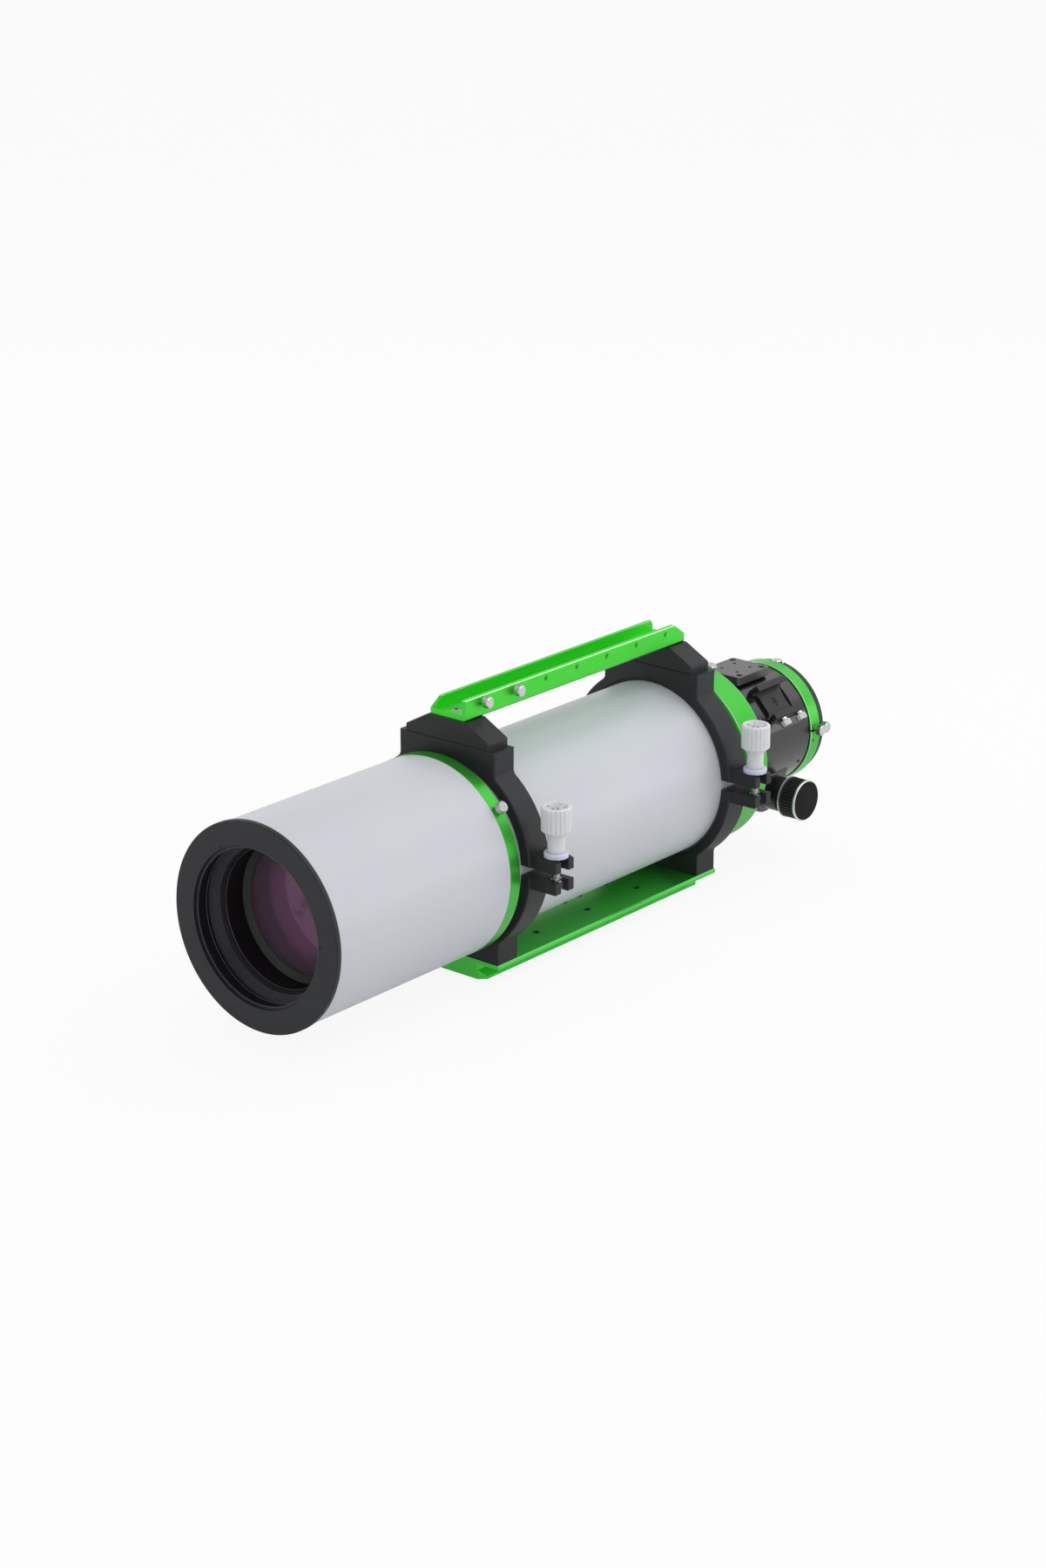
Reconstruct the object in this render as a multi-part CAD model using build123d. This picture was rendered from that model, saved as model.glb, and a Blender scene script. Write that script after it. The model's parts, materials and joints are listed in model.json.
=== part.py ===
from build123d import *
import math
import os

# Refractor telescope tube held in two hinged rings, with a dovetail plate below and a channel bar above.
# Millimetres. +Y runs along the optical axis from the sky end to the eyepiece end.
# +X is the clamp side and +Z is up. The origin is the centre of the dovetail plate's bottom face.
# Stations along the tube are Y values. Heights named LEVEL are measured from the optical axis.

AXIS_Z = 105.0
SEAT_GAP = 0.05
RUN_GAP = 0.08
FREE_GAP = 0.3
# Cuts run this far past the face they leave through
OVER = 1.0
EDGE = 0.8

# Main tube and baffles
TUBE_R = 77.5
TUBE_WALL = 2.5
TUBE_FRONT = -302.0
TUBE_REAR = 168.0
BAFFLE_STATIONS = (-150.0, -20.0, 80.0)
BAFFLE_BORES = (52.0, 43.0, 36.0)
BAFFLE_DEPTH = 8.0
BAFFLE_RIM = 1.5
BAFFLE_EDGE = 0.6

# Dew shield, retracted
SHIELD_R = 84.8
SHIELD_BORE = 82.0
SHIELD_SPIGOT = 8.0
LIP_FRONT = -369.5
LIP_THICK = 4.4
LIP_STEP = 2.3
LIP_R = 86.0
LIP_BORE = 66.2
LIP_STEP_BORE = 63.9
LIP_SPIGOT_WALL = 3.0
BAND_R = 85.1
BAND_FRONT = -166.2
BAND_REAR = -154.1
BAND_SPIGOT = 5.8
SHIELD_LOCK_ANGLE = 39.0

# Objective
CELL_FRONT = -353.5
CELL_R = 81.0
CELL_WAIST_R = 70.0
CELL_WAIST = (-336.0, -318.0)
CELL_REAR = -280.0
FELT_R = 81.9
FELT_SEAT_R = 79.0
FELT_STATIONS = (-350.0, -315.0)
FELT_WIDTH = 10.5
FRONT_RING_R = 68.0
FRONT_RING_BACK = -341.0
RIB_COUNT = 7
RIB_STEP = 1.0
CLEAR_R = 60.3
RETAINER_BORE = 59.6
RETAINER_LIP_BORE = 53.6
RETAINER_LIP = (-322.0, -318.6, -318.2)
SPANNER_NOTCH_WIDTH = 3.0
SPANNER_NOTCH_DEPTH = 2.0
LENS_R = 61.4
LENS_BORE = 61.5
LEDGE_R = 58.5
# Each lens: front edge, rear edge, front crown, rear crown. A crown is positive where the glass bulges out.
LENSES = {
    "front_lens": (-317.0, -311.0, 3.6, 4.0),
    "middle_lens": (-309.0, -294.0, -4.5, -3.5),
    "rear_lens": (-292.0, -285.0, 3.2, 2.0),
}
LENS_SEAT = 0.3
SPACER_STATIONS = ((-311.0 + LENS_SEAT, -309.0), (-294.0, -292.0 - LENS_SEAT))

# Mounting rings
RING_OFFSET = 133.2
RING_WIDTH = 25.0
RING_R = 87.5
RING_BORE = 79.5
BASE_LEVEL = -2.8
LID_LEVEL = 5.2
BASE_BLOCK_HALF = 53.7
BASE_BLOCK_BLEND = 5.0
SHOULDER_HALF = 50.4
SHOULDER_LEVEL = 93.3
SHOULDER_BLEND = 6.0
CROWN_HALF = 43.8
CROWN_LEVEL = 99.5
CROWN_TOP_HALF = 20.0
CROWN_TOP_LEVEL = 112.5
CROWN_CORNER = 2.0
FELT_MARGIN = 1.0

# Clamp lugs, swing bolts and knobs
LUG_ROOT = RING_BORE + 4.0
LUG_END = 113.3
LUG_WIDTH = 22.2
LUG_SLOT = 9.3
LUG_LOW = -12.8
LUG_TOP = 15.8
LUG_CORNER = 1.0
PIVOT_X = 104.2
PIVOT_LEVEL = -8.2
PIN_R = 2.0
EYE_R = 4.6
EYE_WIDTH = 8.7
EYE_RELIEF = 0.8
BOLT_R = 3.0
BOLT_GRIP = 8.0
KNOB_NECK_R = 7.2
KNOB_GRIP_R = 12.3
KNOB_WASHER_R = 10.0
KNOB_WASHER_THICK = 4.2
KNOB_NECK_LENGTH = 13.8
KNOB_CONE_LENGTH = 4.6
KNOB_GRIP_LENGTH = 20.0
KNOB_BORE_DEPTH = 12.0
KNOB_EDGE = 1.2
KNOB_DISH_RIM = 2.6
KNOB_DISH_SLOPE = 1.4
KNOB_DISH_DEPTH = 2.5
KNOB_FLUTES = 20
FLUTE_R = 1.2
FLUTE_SHIFT = 0.6

# Hinge on the far side
HINGE_X = -96.0
HINGE_LEVEL = 1.2
HINGE_R = 6.5
HINGE_MID_WIDTH = 9.0
HINGE_RELIEF = 8.0

# Dovetail plate
PLATE_LENGTH = 292.0
PLATE_HEIGHT = 17.2
FLANGE_HALF = 54.7
FLANGE_THICK = 3.6
FLANGE_EDGE = 1.0
NECK_HALF = 32.0
DOVETAIL_HALF = 38.1
DOVETAIL_RISE = 8.2
DOVETAIL_EDGE = 2.0
CORNER_CUT = 6.0
SIDE_HOLE_X = 30.0
SIDE_HOLE_PITCH = 67.4
SIDE_HOLE_MIDDLE = -1.4
SIDE_HOLE_R = 3.3
MID_HOLE_X = 4.7
MID_HOLE_STATIONS = (-1.4, 19.2, 54.9)
MID_HOLE_R = 3.2

# Socket screws: head radius, head height, shank radius
FOOT_SCREW = (5.0, 5.5, 3.0)
FOOT_SCREW_X = 22.0
FOOT_SCREW_DEPTH = 7.0
FOOT_SCREW_GRIP = 6.0
BAR_SCREW = (4.2, 3.2, 3.0)
BAR_SCREW_DEPTH = 3.4
BAR_SCREW_LENGTH = 14.0
PLATE_SCREW = (2.7, 2.6, 1.5)
PLATE_SCREW_DEPTH = 3.2
PLATE_SCREW_GRIP = 3.2
SHOE_SCREW = (3.8, 1.4, 2.0)
SHOE_SCREW_SEAT = 1.4
SHOE_SCREW_GRIP = 4.2
HOUSING_SCREW = (2.7, 2.8, 1.5)
HOUSING_SCREW_LEVEL = -50.0
HOUSING_SCREW_GRIP = 2.8
HEAD_GAP = 0.2
HOLE_END = 0.4
HEAD_EDGE = 0.4

# Top bar
BAR_HALF = 18.6
BAR_LENGTH = 287.0
BAR_NEAR_HEIGHT = 17.7
BAR_FAR_HEIGHT = 13.2
BAR_FLOOR = 5.0
BAR_FOOT_EDGE = 1.5
BAR_SLOT_LOW_HALF = 15.8
BAR_SLOT_TOP_HALF = 14.8
# Sloped wall ends: run along the bar and drop in height
NEAR_REAR_CUT = (14.0, 10.0)
FAR_FRONT_CUT = (12.0, 8.2)
FAR_REAR_CUT = (3.0, 5.0)
BAR_HOLE_PITCH = 39.8
BAR_HOLE_COUNT = 7
BAR_HOLE_MIDDLE = -2.6
BAR_HOLE_LEVEL = 125.0

# Tail ring and focuser rotation
TAIL_FRONT = 156.3
TAIL_R = 81.3
TAIL_RIM = 183.0
TAIL_REAR = 190.0
TAIL_REAR_R = 70.0
SPIGOT_R = 58.0
COLLAR_R = 70.0
COLLAR_FRONT = 157.5
ROTATION_LOCK_ANGLE = 73.5
ROTATION_LOCK_Y = 175.0

# Focuser adapter and body
ADAPTER_R = 66.0
ADAPTER_REAR = 196.0
ADAPTER_EDGE = 2.0
ADAPTER_SEAT_R = 51.0
ADAPTER_SEAT_DEPTH = 6.0
BODY_R = 54.0
BODY_BORE = 47.0
BODY_REAR = 284.6
BODY_EDGE = 1.0
BUSH_STATIONS = (158.0, 272.0)
BUSH_WIDTH = 12.0
PAD_HALF = 17.0
PAD_LEVEL = 53.4
PAD_MARGIN = 2.0
TOP_PLATE_Y = 244.7
TOP_PLATE_HALF = 20.5
TOP_PLATE_LENGTH = 46.0
TOP_PLATE_THICK = 7.5
TOP_PLATE_CUT = 2.0
TOP_PLATE_EDGE = 0.5
INNER_HOLES = (17.0, 19.0)
OUTER_HOLES = (32.0, 32.8)
TAPPED_R = 1.65

# Finder shoe
SHOE_ANGLE = 42.0
SHOE_Y = 247.0
SHOE_SEAT_R = 52.2
SHOE_LENGTH = 42.0
SHOE_HALF = 18.0
SHOE_CORNER = 3.0
SHOE_FLOOR = 3.0
SHOE_HEIGHT = 12.3
SHOE_EDGE = 1.0
SHOE_SLOT_LOW_HALF = 13.6
SHOE_SLOT_TOP_HALF = 11.8
SCALLOP_DEPTH = 6.0
SCALLOP_CORNER = 5.0
SHOE_SCREW_STATIONS = (-9.3, 13.7)
SHOE_SCREW_LEVEL = 9.2
SHOE_SCREW_SHORT = 0.8

# Rack, pinion and drawtube
DRAW_R = 38.1
DRAW_BORE = 34.5
DRAW_FRONT = 140.0
DRAW_REAR = 298.4
MODULE = 0.8
PINION_TEETH = 14
PRESSURE_ANGLE = 20.0
TOOTH_THICK = 1.1
RACK_ADDENDUM = 0.56
PINION_ADDENDUM = 0.72
TOOTH_GAP = 0.3
ROOT_EASE = 0.02
FLANK_STEPS = 3
RACK_HALF = 6.0
RACK_FRONT = 152.8
RACK_TOP_LEVEL = -36.6
RACK_TEETH = 43
RACK_LAND = 1.0
RACK_FLAT_MARGIN = 4.0
PINION_Y = 242.8
PINION_LEVEL = -45.5
PINION_HALF = 7.0
PINION_RELIEF = 0.8
SHAFT_R = 3.0

# Pinion housing
HOUSING_R = 20.5
HOUSING_LOW_HALF = 38.0
HOUSING_TOP_HALF = 48.0
HOUSING_EDGE = 3.0
CHEEK_LEVEL = -26.0
HOUSING_TOP = -42.0
BOSS_R = 15.5
BOSS_END = 57.5
BUSH_R = 5.5
BUSH_INNER = 44.0
HOUSING_SCREW_X = 28.0
HOUSING_SCREW_Y = 16.0
FOCUS_LOCK_X = -17.0
FOCUS_LOCK_Y = 250.8
FOCUS_LOCK_LEVEL = -61.2
SPOT_FACE_R = 5.4

# Focus knobs
FOCUS_KNOB_R = 18.0
FOCUS_TRIM_R = 18.6
FOCUS_HUB_R = 7.0
GRIP_WALL = 3.0
RIGHT_KNOB = (62.5, 81.5)
LEFT_KNOB = (60.0, 75.5)
TRIM_WIDTH = 2.0
TRIM_EDGE = 0.6
SHAFT_SHORT = 2.0
CAP_RISE = 1.5
CAP_RIM = 0.3
CAP_MARGIN = 1.2
GRIP_RIBS = 40
RIB_DEPTH = 0.8
FINE_KNOB = (76.0, 87.5)
FINE_KNOB_R = 9.0
FINE_DISH_R = 4.0
FINE_EDGE = 1.0
FINE_GROOVES = 20
FINE_GROOVE_R = 0.9
FINE_GROOVE_SHIFT = 0.4
FINE_GROOVE_MARGIN = 2.0

# Eyepiece end
ROTATOR_FRONT = 285.0
ROTATOR_REAR = 298.5
ROTATOR_R = 55.5
ROTATOR_EDGE = 0.7
ROTATOR_SLIT = 1.6
ROTATOR_SLIT_DEPTH = 6.0
END_REAR = 306.5
END_R = 53.5
END_EDGE = 0.6
SOCKET_R = 25.45
SOCKET_FRONT = 270.0
SOCKET_MOUTH = 1.0
CLAMP_GROOVE = (299.6, 304.9)
CLAMP_GROOVE_R = 27.4
CLAMP_SIDE_GAP = 0.2
CLAMP_SPLIT = 1.5
# Each thumbscrew: angle round the tube, station, seat radius
END_SCREWS = {"side": (3.0, 292.0, ROTATOR_R), "rear": (3.0, 302.2, END_R), "top": (86.0, 302.2, 47.5)}
TOP_RECESS_R = 6.0

# Thumbscrews, all of one pattern
SCREW_R = 2.0
SCREW_HOLE_R = 2.2
SCREW_COLLAR_R = 3.4
SCREW_HEAD_R = 4.6
SCREW_COLLAR_LENGTH = 1.9
SCREW_HEAD_LENGTH = 5.8
SCREW_EDGE = 0.6

PITCH_R = MODULE * PINION_TEETH / 2
TOOTH_PITCH = math.pi * MODULE
OPTICAL = Plane(origin=(0, 0, AXIS_Z), x_dir=(1, 0, 0), z_dir=(0, 1, 0))
ACROSS = Plane(origin=(0, PINION_Y, AXIS_Z + PINION_LEVEL), x_dir=(0, 1, 0), z_dir=(1, 0, 0))


def spun(points):
    """Solid of revolution about local Z from (radius, height) points."""
    profile = Plane.XZ * make_face(Polyline(*points, close=True))
    return revolve(profile, Axis.Z)


def turned(points):
    """Solid of revolution about the optical axis from (radius, station) points."""
    return OPTICAL * spun(points)


def sleeve(inner, outer, front, rear):
    """Plain ring about the optical axis."""
    return turned([(inner, front), (outer, front), (outer, rear), (inner, rear)])


def slab(profile, front, rear):
    """Extrude a section drawn in X and level, between two stations."""
    section = Plane(origin=(0, rear, AXIS_Z), x_dir=(1, 0, 0), z_dir=(0, -1, 0)) * profile
    return extrude(section, amount=rear - front)


def strip(low_x, low_y, high_x, high_y):
    """Rectangle between two corners."""
    return Pos((low_x + high_x) / 2, (low_y + high_y) / 2) * Rectangle(high_x - low_x, high_y - low_y)


def block(low, high):
    """Box between two corners given as (x, station, level)."""
    size = [b - a for a, b in zip(low, high)]
    middle = [(a + b) / 2 for a, b in zip(low, high)]
    return Pos(middle[0], middle[1], AXIS_Z + middle[2]) * Box(*size)


def rod(radius, plane, start, end):
    """Cylinder along a plane's normal, between two distances from it."""
    return plane * (Pos(0, 0, (start + end) / 2) * Cylinder(radius, end - start))


def upright(x, y, level=0.0):
    """Plane with its normal straight up, at a point."""
    return Plane(origin=(x, y, AXIS_Z + level), x_dir=(1, 0, 0), z_dir=(0, 0, 1))


def downright(x, y, level):
    """Plane with its normal straight down, at a point."""
    return Plane(origin=(x, y, AXIS_Z + level), x_dir=(1, 0, 0), z_dir=(0, 0, -1))


def radial(angle, y, radius):
    """Plane facing straight out from the optical axis."""
    out = (math.cos(math.radians(angle)), 0, math.sin(math.radians(angle)))
    return Plane(origin=(radius * out[0], y, AXIS_Z + radius * out[2]), x_dir=(0, 1, 0), z_dir=out)


def lengthwise(x, level, y=0.0):
    """Plane with its normal along +Y."""
    return Plane(origin=(x, y, AXIS_Z + level), x_dir=(1, 0, 0), z_dir=(0, 1, 0))


def rounded(profile, spots, radius):
    """Round the corners of a section that lie nearest to the given spots."""
    corners = [min(profile.vertices(), key=lambda v: math.hypot(v.X - x, v.Y - z)) for x, z in spots]
    return fillet(corners, radius)


def bevelled_ends(solid):
    """Break the edges of the front and rear faces of an extruded piece."""
    faces = solid.faces().sort_by(Axis.Y)
    return chamfer(faces[0].edges() + faces[-1].edges(), EDGE)


def both(values):
    """The same distance on either side."""
    return (-values, values)


def spread(middle, width):
    """Front and rear stations of a piece of a given width."""
    return middle - width / 2, middle + width / 2


def thumbscrew(seat, shank):
    """Chrome thumbscrew standing on a seat plane, with its shank reaching below the seat."""
    collar = FREE_GAP + SCREW_COLLAR_LENGTH
    top = collar + SCREW_HEAD_LENGTH
    return seat * spun([
        (0, -shank), (SCREW_R, -shank), (SCREW_R, FREE_GAP), (SCREW_COLLAR_R, FREE_GAP),
        (SCREW_COLLAR_R, collar), (SCREW_HEAD_R - SCREW_EDGE, collar), (SCREW_HEAD_R, collar + SCREW_EDGE),
        (SCREW_HEAD_R, top - SCREW_EDGE), (SCREW_HEAD_R - SCREW_EDGE, top), (0, top),
    ])


def socket_screw(seat, length, pattern):
    """Cap screw with a hexagon socket, its head standing on a seat and its shank running below."""
    head_r, height, shank_r = pattern
    screw = spun([
        (0, -length), (shank_r, -length), (shank_r, 0), (head_r, 0), (head_r, height - HEAD_EDGE),
        (head_r - HEAD_EDGE, height), (0, height),
    ])
    socket = extrude(Pos(0, 0, height * 0.4) * RegularPolygon(head_r / 2, 6), amount=height)
    return seat * (screw - socket)


def main_tube():
    return sleeve(TUBE_R - TUBE_WALL, TUBE_R, TUBE_FRONT, TUBE_REAR)


def baffle_ring(y, bore):
    """Light stop with a sharp inner edge and a rim that sits in the tube."""
    rim_r = TUBE_R - TUBE_WALL - SEAT_GAP
    inner_r = rim_r - BAFFLE_RIM
    return turned([
        (bore, y), (rim_r, y), (rim_r, y + BAFFLE_DEPTH), (inner_r, y + BAFFLE_DEPTH),
        (inner_r, y + BAFFLE_RIM), (bore, y + BAFFLE_EDGE),
    ])


def baffle_rings():
    return Compound([baffle_ring(y, bore) for y, bore in zip(BAFFLE_STATIONS, BAFFLE_BORES)])


def dew_shield_tube():
    return sleeve(SHIELD_BORE, SHIELD_R, LIP_FRONT + LIP_THICK, BAND_FRONT)


def dew_shield_lip():
    back = LIP_FRONT + LIP_THICK
    step = LIP_FRONT + LIP_STEP
    seat_r = SHIELD_BORE - SEAT_GAP
    spigot_r = seat_r - LIP_SPIGOT_WALL
    return turned([
        (LIP_BORE, LIP_FRONT), (LIP_R - EDGE, LIP_FRONT), (LIP_R, LIP_FRONT + EDGE), (LIP_R, back),
        (seat_r, back), (seat_r, back + SHIELD_SPIGOT), (spigot_r, back + SHIELD_SPIGOT), (spigot_r, back),
        (LIP_STEP_BORE, back), (LIP_STEP_BORE, step), (LIP_BORE, step),
    ])


def shield_lock_seat():
    return radial(SHIELD_LOCK_ANGLE, (BAND_FRONT + BAND_REAR) / 2, BAND_R)


def dew_shield_band():
    bore = TUBE_R + RUN_GAP
    seat_r = SHIELD_BORE - SEAT_GAP
    ring = turned([
        (bore, BAND_FRONT - BAND_SPIGOT), (seat_r, BAND_FRONT - BAND_SPIGOT), (seat_r, BAND_FRONT),
        (BAND_R, BAND_FRONT), (BAND_R, BAND_REAR - EDGE), (BAND_R - EDGE, BAND_REAR), (bore, BAND_REAR),
    ])
    return ring - rod(SCREW_HOLE_R, shield_lock_seat(), bore - BAND_R - OVER, OVER)


def shield_lock_screw():
    return thumbscrew(shield_lock_seat(), BAND_R - TUBE_R - FREE_GAP)


def land(front, rear, felt):
    """Outline of one guiding land of the cell, with its felt groove."""
    return [
        (CELL_R, front), (CELL_R, felt), (FELT_SEAT_R, felt), (FELT_SEAT_R, felt + FELT_WIDTH),
        (CELL_R, felt + FELT_WIDTH), (CELL_R, rear),
    ]


def objective_cell():
    spigot_r = TUBE_R - TUBE_WALL - SEAT_GAP
    ledge = LENSES["rear_lens"][1] + LENS_SEAT
    front_land = land(CELL_FRONT, CELL_WAIST[0], FELT_STATIONS[0])
    rear_land = land(CELL_WAIST[1], TUBE_FRONT, FELT_STATIONS[1])
    waist = [(CELL_WAIST_R, y) for y in CELL_WAIST]
    inside = [
        (spigot_r, TUBE_FRONT), (spigot_r, CELL_REAR), (LEDGE_R, CELL_REAR), (LEDGE_R, ledge),
        (LENS_BORE, ledge), (LENS_BORE, FRONT_RING_BACK), (FRONT_RING_R, FRONT_RING_BACK),
        (FRONT_RING_R, CELL_FRONT),
    ]
    return turned(front_land + waist + rear_land + inside)


def shield_guide_felts():
    return Compound([sleeve(FELT_SEAT_R, FELT_R, y, y + FELT_WIDTH) for y in FELT_STATIONS])


def cell_front_ring():
    """Ring with stepped light-trapping ribs that open towards the sky."""
    outer = FRONT_RING_R - SEAT_GAP
    throat = CELL_FRONT + RIB_COUNT * RIB_STEP
    outline = [(outer, CELL_FRONT), (outer, FRONT_RING_BACK), (CLEAR_R, FRONT_RING_BACK)]
    for i in range(RIB_COUNT):
        y = throat - i * RIB_STEP
        outline += [(CLEAR_R + i * RIB_STEP, y), (CLEAR_R + (i + 1) * RIB_STEP, y)]
    return turned(outline + [(CLEAR_R + RIB_COUNT * RIB_STEP, CELL_FRONT)])


def retaining_ring():
    """Threaded ring before the glass, with a narrower lip that holds it and two spanner notches."""
    front = FRONT_RING_BACK
    lip_front, lip_edge, lip_rear = RETAINER_LIP
    ring = turned([
        (RETAINER_BORE, front), (LENS_R, front), (LENS_R, LENSES["front_lens"][0] - LENS_SEAT),
        (RETAINER_LIP_BORE, lip_rear), (RETAINER_LIP_BORE, lip_edge), (RETAINER_BORE, lip_front),
    ])
    half = SPANNER_NOTCH_WIDTH / 2
    return ring - block((-LENS_R, front - OVER, -half), (LENS_R, front + SPANNER_NOTCH_DEPTH, half))


def lens_arc(edge, crown):
    """Arc of a spherical face from the axis to the rim; a positive crown rises in +Y."""
    ball_r = (LENS_R ** 2 + crown ** 2) / (2 * abs(crown))
    turn = math.asin(LENS_R / ball_r) / 2
    drop = math.copysign(ball_r * (1 - math.cos(turn)), crown)
    return ThreePointArc((0, edge + crown), (ball_r * math.sin(turn), edge + crown - drop), (LENS_R, edge))


def lens(front, rear, front_crown, rear_crown):
    """Glass disc with a crowned or hollow face on either side."""
    rim = Line((LENS_R, front), (LENS_R, rear))
    axis = Line((0, rear + rear_crown), (0, front - front_crown))
    profile = make_face([lens_arc(front, -front_crown), rim, lens_arc(rear, rear_crown), axis])
    return OPTICAL * revolve(Plane.XZ * profile, Axis.Z)


def lens_spacers():
    return Compound([sleeve(RETAINER_BORE, LENS_R, front, rear) for front, rear in SPACER_STATIONS])


def ring_base(y):
    """Lower ring half with its foot, the slotted pivot lug and the outer hinge knuckles."""
    foot = -(AXIS_Z - PLATE_HEIGHT)
    half_ring = Circle(RING_R) & strip(-RING_R, -RING_R, RING_R, BASE_LEVEL)
    profile = half_ring + strip(-BASE_BLOCK_HALF, foot, BASE_BLOCK_HALF, -RING_BORE / 2) - Circle(RING_BORE)
    blend_level = -math.sqrt(RING_R ** 2 - BASE_BLOCK_HALF ** 2)
    profile = rounded(profile, [(x, blend_level) for x in both(BASE_BLOCK_HALF)], BASE_BLOCK_BLEND)
    body = bevelled_ends(slab(profile, *spread(y, RING_WIDTH)))
    lug = rounded(strip(LUG_ROOT, LUG_LOW, LUG_END, BASE_LEVEL), [(LUG_END, LUG_LOW)], LUG_CORNER)
    knuckle = Pos(HINGE_X, HINGE_LEVEL) * Circle(HINGE_R)
    knuckle += strip(HINGE_X - HINGE_R, LUG_LOW, -LUG_ROOT, BASE_LEVEL)
    knuckle += strip(HINGE_X - HINGE_R, BASE_LEVEL, HINGE_X + HINGE_R, HINGE_LEVEL)
    body += slab(lug, *spread(y, LUG_WIDTH))
    body += slab(knuckle, *spread(y, LUG_WIDTH))
    slot = strip(PIVOT_X - EYE_R - EYE_RELIEF, LUG_LOW - OVER, LUG_END + OVER, BASE_LEVEL + OVER)
    body -= slab(slot, *spread(y, LUG_SLOT))
    relief = strip(HINGE_X - HINGE_RELIEF, LUG_LOW - OVER, -RING_R - SEAT_GAP, HINGE_LEVEL + HINGE_RELIEF)
    body -= slab(relief, *spread(y, HINGE_MID_WIDTH + 2 * FREE_GAP))
    for x, level in ((PIVOT_X, PIVOT_LEVEL), (HINGE_X, HINGE_LEVEL)):
        body -= rod(PIN_R + SEAT_GAP, lengthwise(x, level, y), -RING_WIDTH, RING_WIDTH)
    for x in both(FOOT_SCREW_X):
        body -= rod(FOOT_SCREW[2] + SEAT_GAP, upright(x, y, foot), -OVER, FOOT_SCREW_GRIP + HOLE_END)
    return body


def ring_lid(y):
    """Upper ring half with its stepped crown, the open clamp lug and the middle hinge knuckle."""
    half_ring = Circle(RING_R) & strip(-RING_R, LID_LEVEL, RING_R, RING_R)
    shoulder = strip(-SHOULDER_HALF, RING_BORE / 2, SHOULDER_HALF, SHOULDER_LEVEL)
    profile = half_ring + shoulder - Circle(RING_BORE)
    blend_level = math.sqrt(RING_R ** 2 - SHOULDER_HALF ** 2)
    profile = rounded(profile, [(x, blend_level) for x in both(SHOULDER_HALF)], SHOULDER_BLEND)
    body = bevelled_ends(slab(profile, *spread(y, RING_WIDTH)))
    crown = Polygon(
        (-CROWN_HALF, SHOULDER_LEVEL), (CROWN_HALF, SHOULDER_LEVEL), (CROWN_HALF, CROWN_LEVEL),
        (CROWN_TOP_HALF, CROWN_TOP_LEVEL), (-CROWN_TOP_HALF, CROWN_TOP_LEVEL), (-CROWN_HALF, CROWN_LEVEL),
        align=None,
    )
    crown = rounded(crown, [(x, CROWN_LEVEL) for x in both(CROWN_HALF)], CROWN_CORNER)
    body += bevelled_ends(slab(crown, *spread(y, RING_WIDTH)))
    swing = Pos(PIVOT_X, PIVOT_LEVEL) * Circle(LUG_TOP - PIVOT_LEVEL)
    lug = strip(LUG_ROOT, LID_LEVEL, PIVOT_X, LUG_TOP)
    lug += swing & strip(PIVOT_X - OVER, LID_LEVEL, LUG_END, LUG_TOP)
    body += slab(lug, *spread(y, LUG_WIDTH))
    slot = strip(PIVOT_X - LUG_SLOT / 2, LID_LEVEL - OVER, LUG_END + OVER, LUG_TOP + OVER)
    body -= slab(slot, *spread(y, LUG_SLOT))
    knuckle = Pos(HINGE_X, HINGE_LEVEL) * Circle(HINGE_R)
    knuckle += strip(HINGE_X - HINGE_R, LID_LEVEL, -LUG_ROOT, LUG_TOP)
    knuckle += strip(HINGE_X - HINGE_R, HINGE_LEVEL, HINGE_X + HINGE_R, LID_LEVEL)
    body += slab(knuckle, *spread(y, HINGE_MID_WIDTH))
    body -= rod(PIN_R + SEAT_GAP, lengthwise(HINGE_X, HINGE_LEVEL, y), -RING_WIDTH, RING_WIDTH)
    return body - rod(BAR_SCREW[2] + SEAT_GAP, upright(0, y, CROWN_TOP_LEVEL), -BAR_SCREW_LENGTH, OVER)


def ring_felts():
    """Felt liners, one strip in each ring half."""
    outer = RING_BORE - SEAT_GAP
    loop = Circle(outer) - Circle(TUBE_R + SEAT_GAP)
    halves = [loop & strip(-outer, -outer, outer, BASE_LEVEL), loop & strip(-outer, LID_LEVEL, outer, outer)]
    width = RING_WIDTH - 2 * FELT_MARGIN
    return Compound([slab(half, *spread(y, width)) for y in both(RING_OFFSET) for half in halves])


def ring_pins():
    """Hinge pins on the far side and pivot pins of the swing bolts."""
    places = ((PIVOT_X, PIVOT_LEVEL), (HINGE_X, HINGE_LEVEL))
    return Compound([
        rod(PIN_R, lengthwise(x, level, y), -LUG_WIDTH / 2, LUG_WIDTH / 2)
        for x, level in places for y in both(RING_OFFSET)
    ])


def knob_seat():
    """Height of the clamp washer's underside above the pivot pin."""
    return LUG_TOP - PIVOT_LEVEL + FREE_GAP


def swing_bolt(y):
    """Eye bolt that swings out of the slotted lugs."""
    eye = Circle(EYE_R) + strip(-BOLT_R, 0, BOLT_R, EYE_R + OVER)
    bolt = Pos(PIVOT_X, 0, PIVOT_LEVEL) * slab(eye, *spread(y, EYE_WIDTH))
    end = knob_seat() + KNOB_NECK_LENGTH + BOLT_GRIP
    bolt += rod(BOLT_R, upright(PIVOT_X, y, PIVOT_LEVEL), EYE_R, end)
    return bolt - rod(PIN_R + RUN_GAP, lengthwise(PIVOT_X, PIVOT_LEVEL, y), -RING_WIDTH, RING_WIDTH)


def clamp_washer(y):
    seat = upright(PIVOT_X, y, PIVOT_LEVEL + knob_seat())
    hole = BOLT_R + RUN_GAP
    rim = KNOB_WASHER_R
    top = KNOB_WASHER_THICK
    return seat * spun([(hole, 0), (rim, 0), (rim, top - EDGE), (rim - EDGE, top), (hole, top)])


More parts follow.
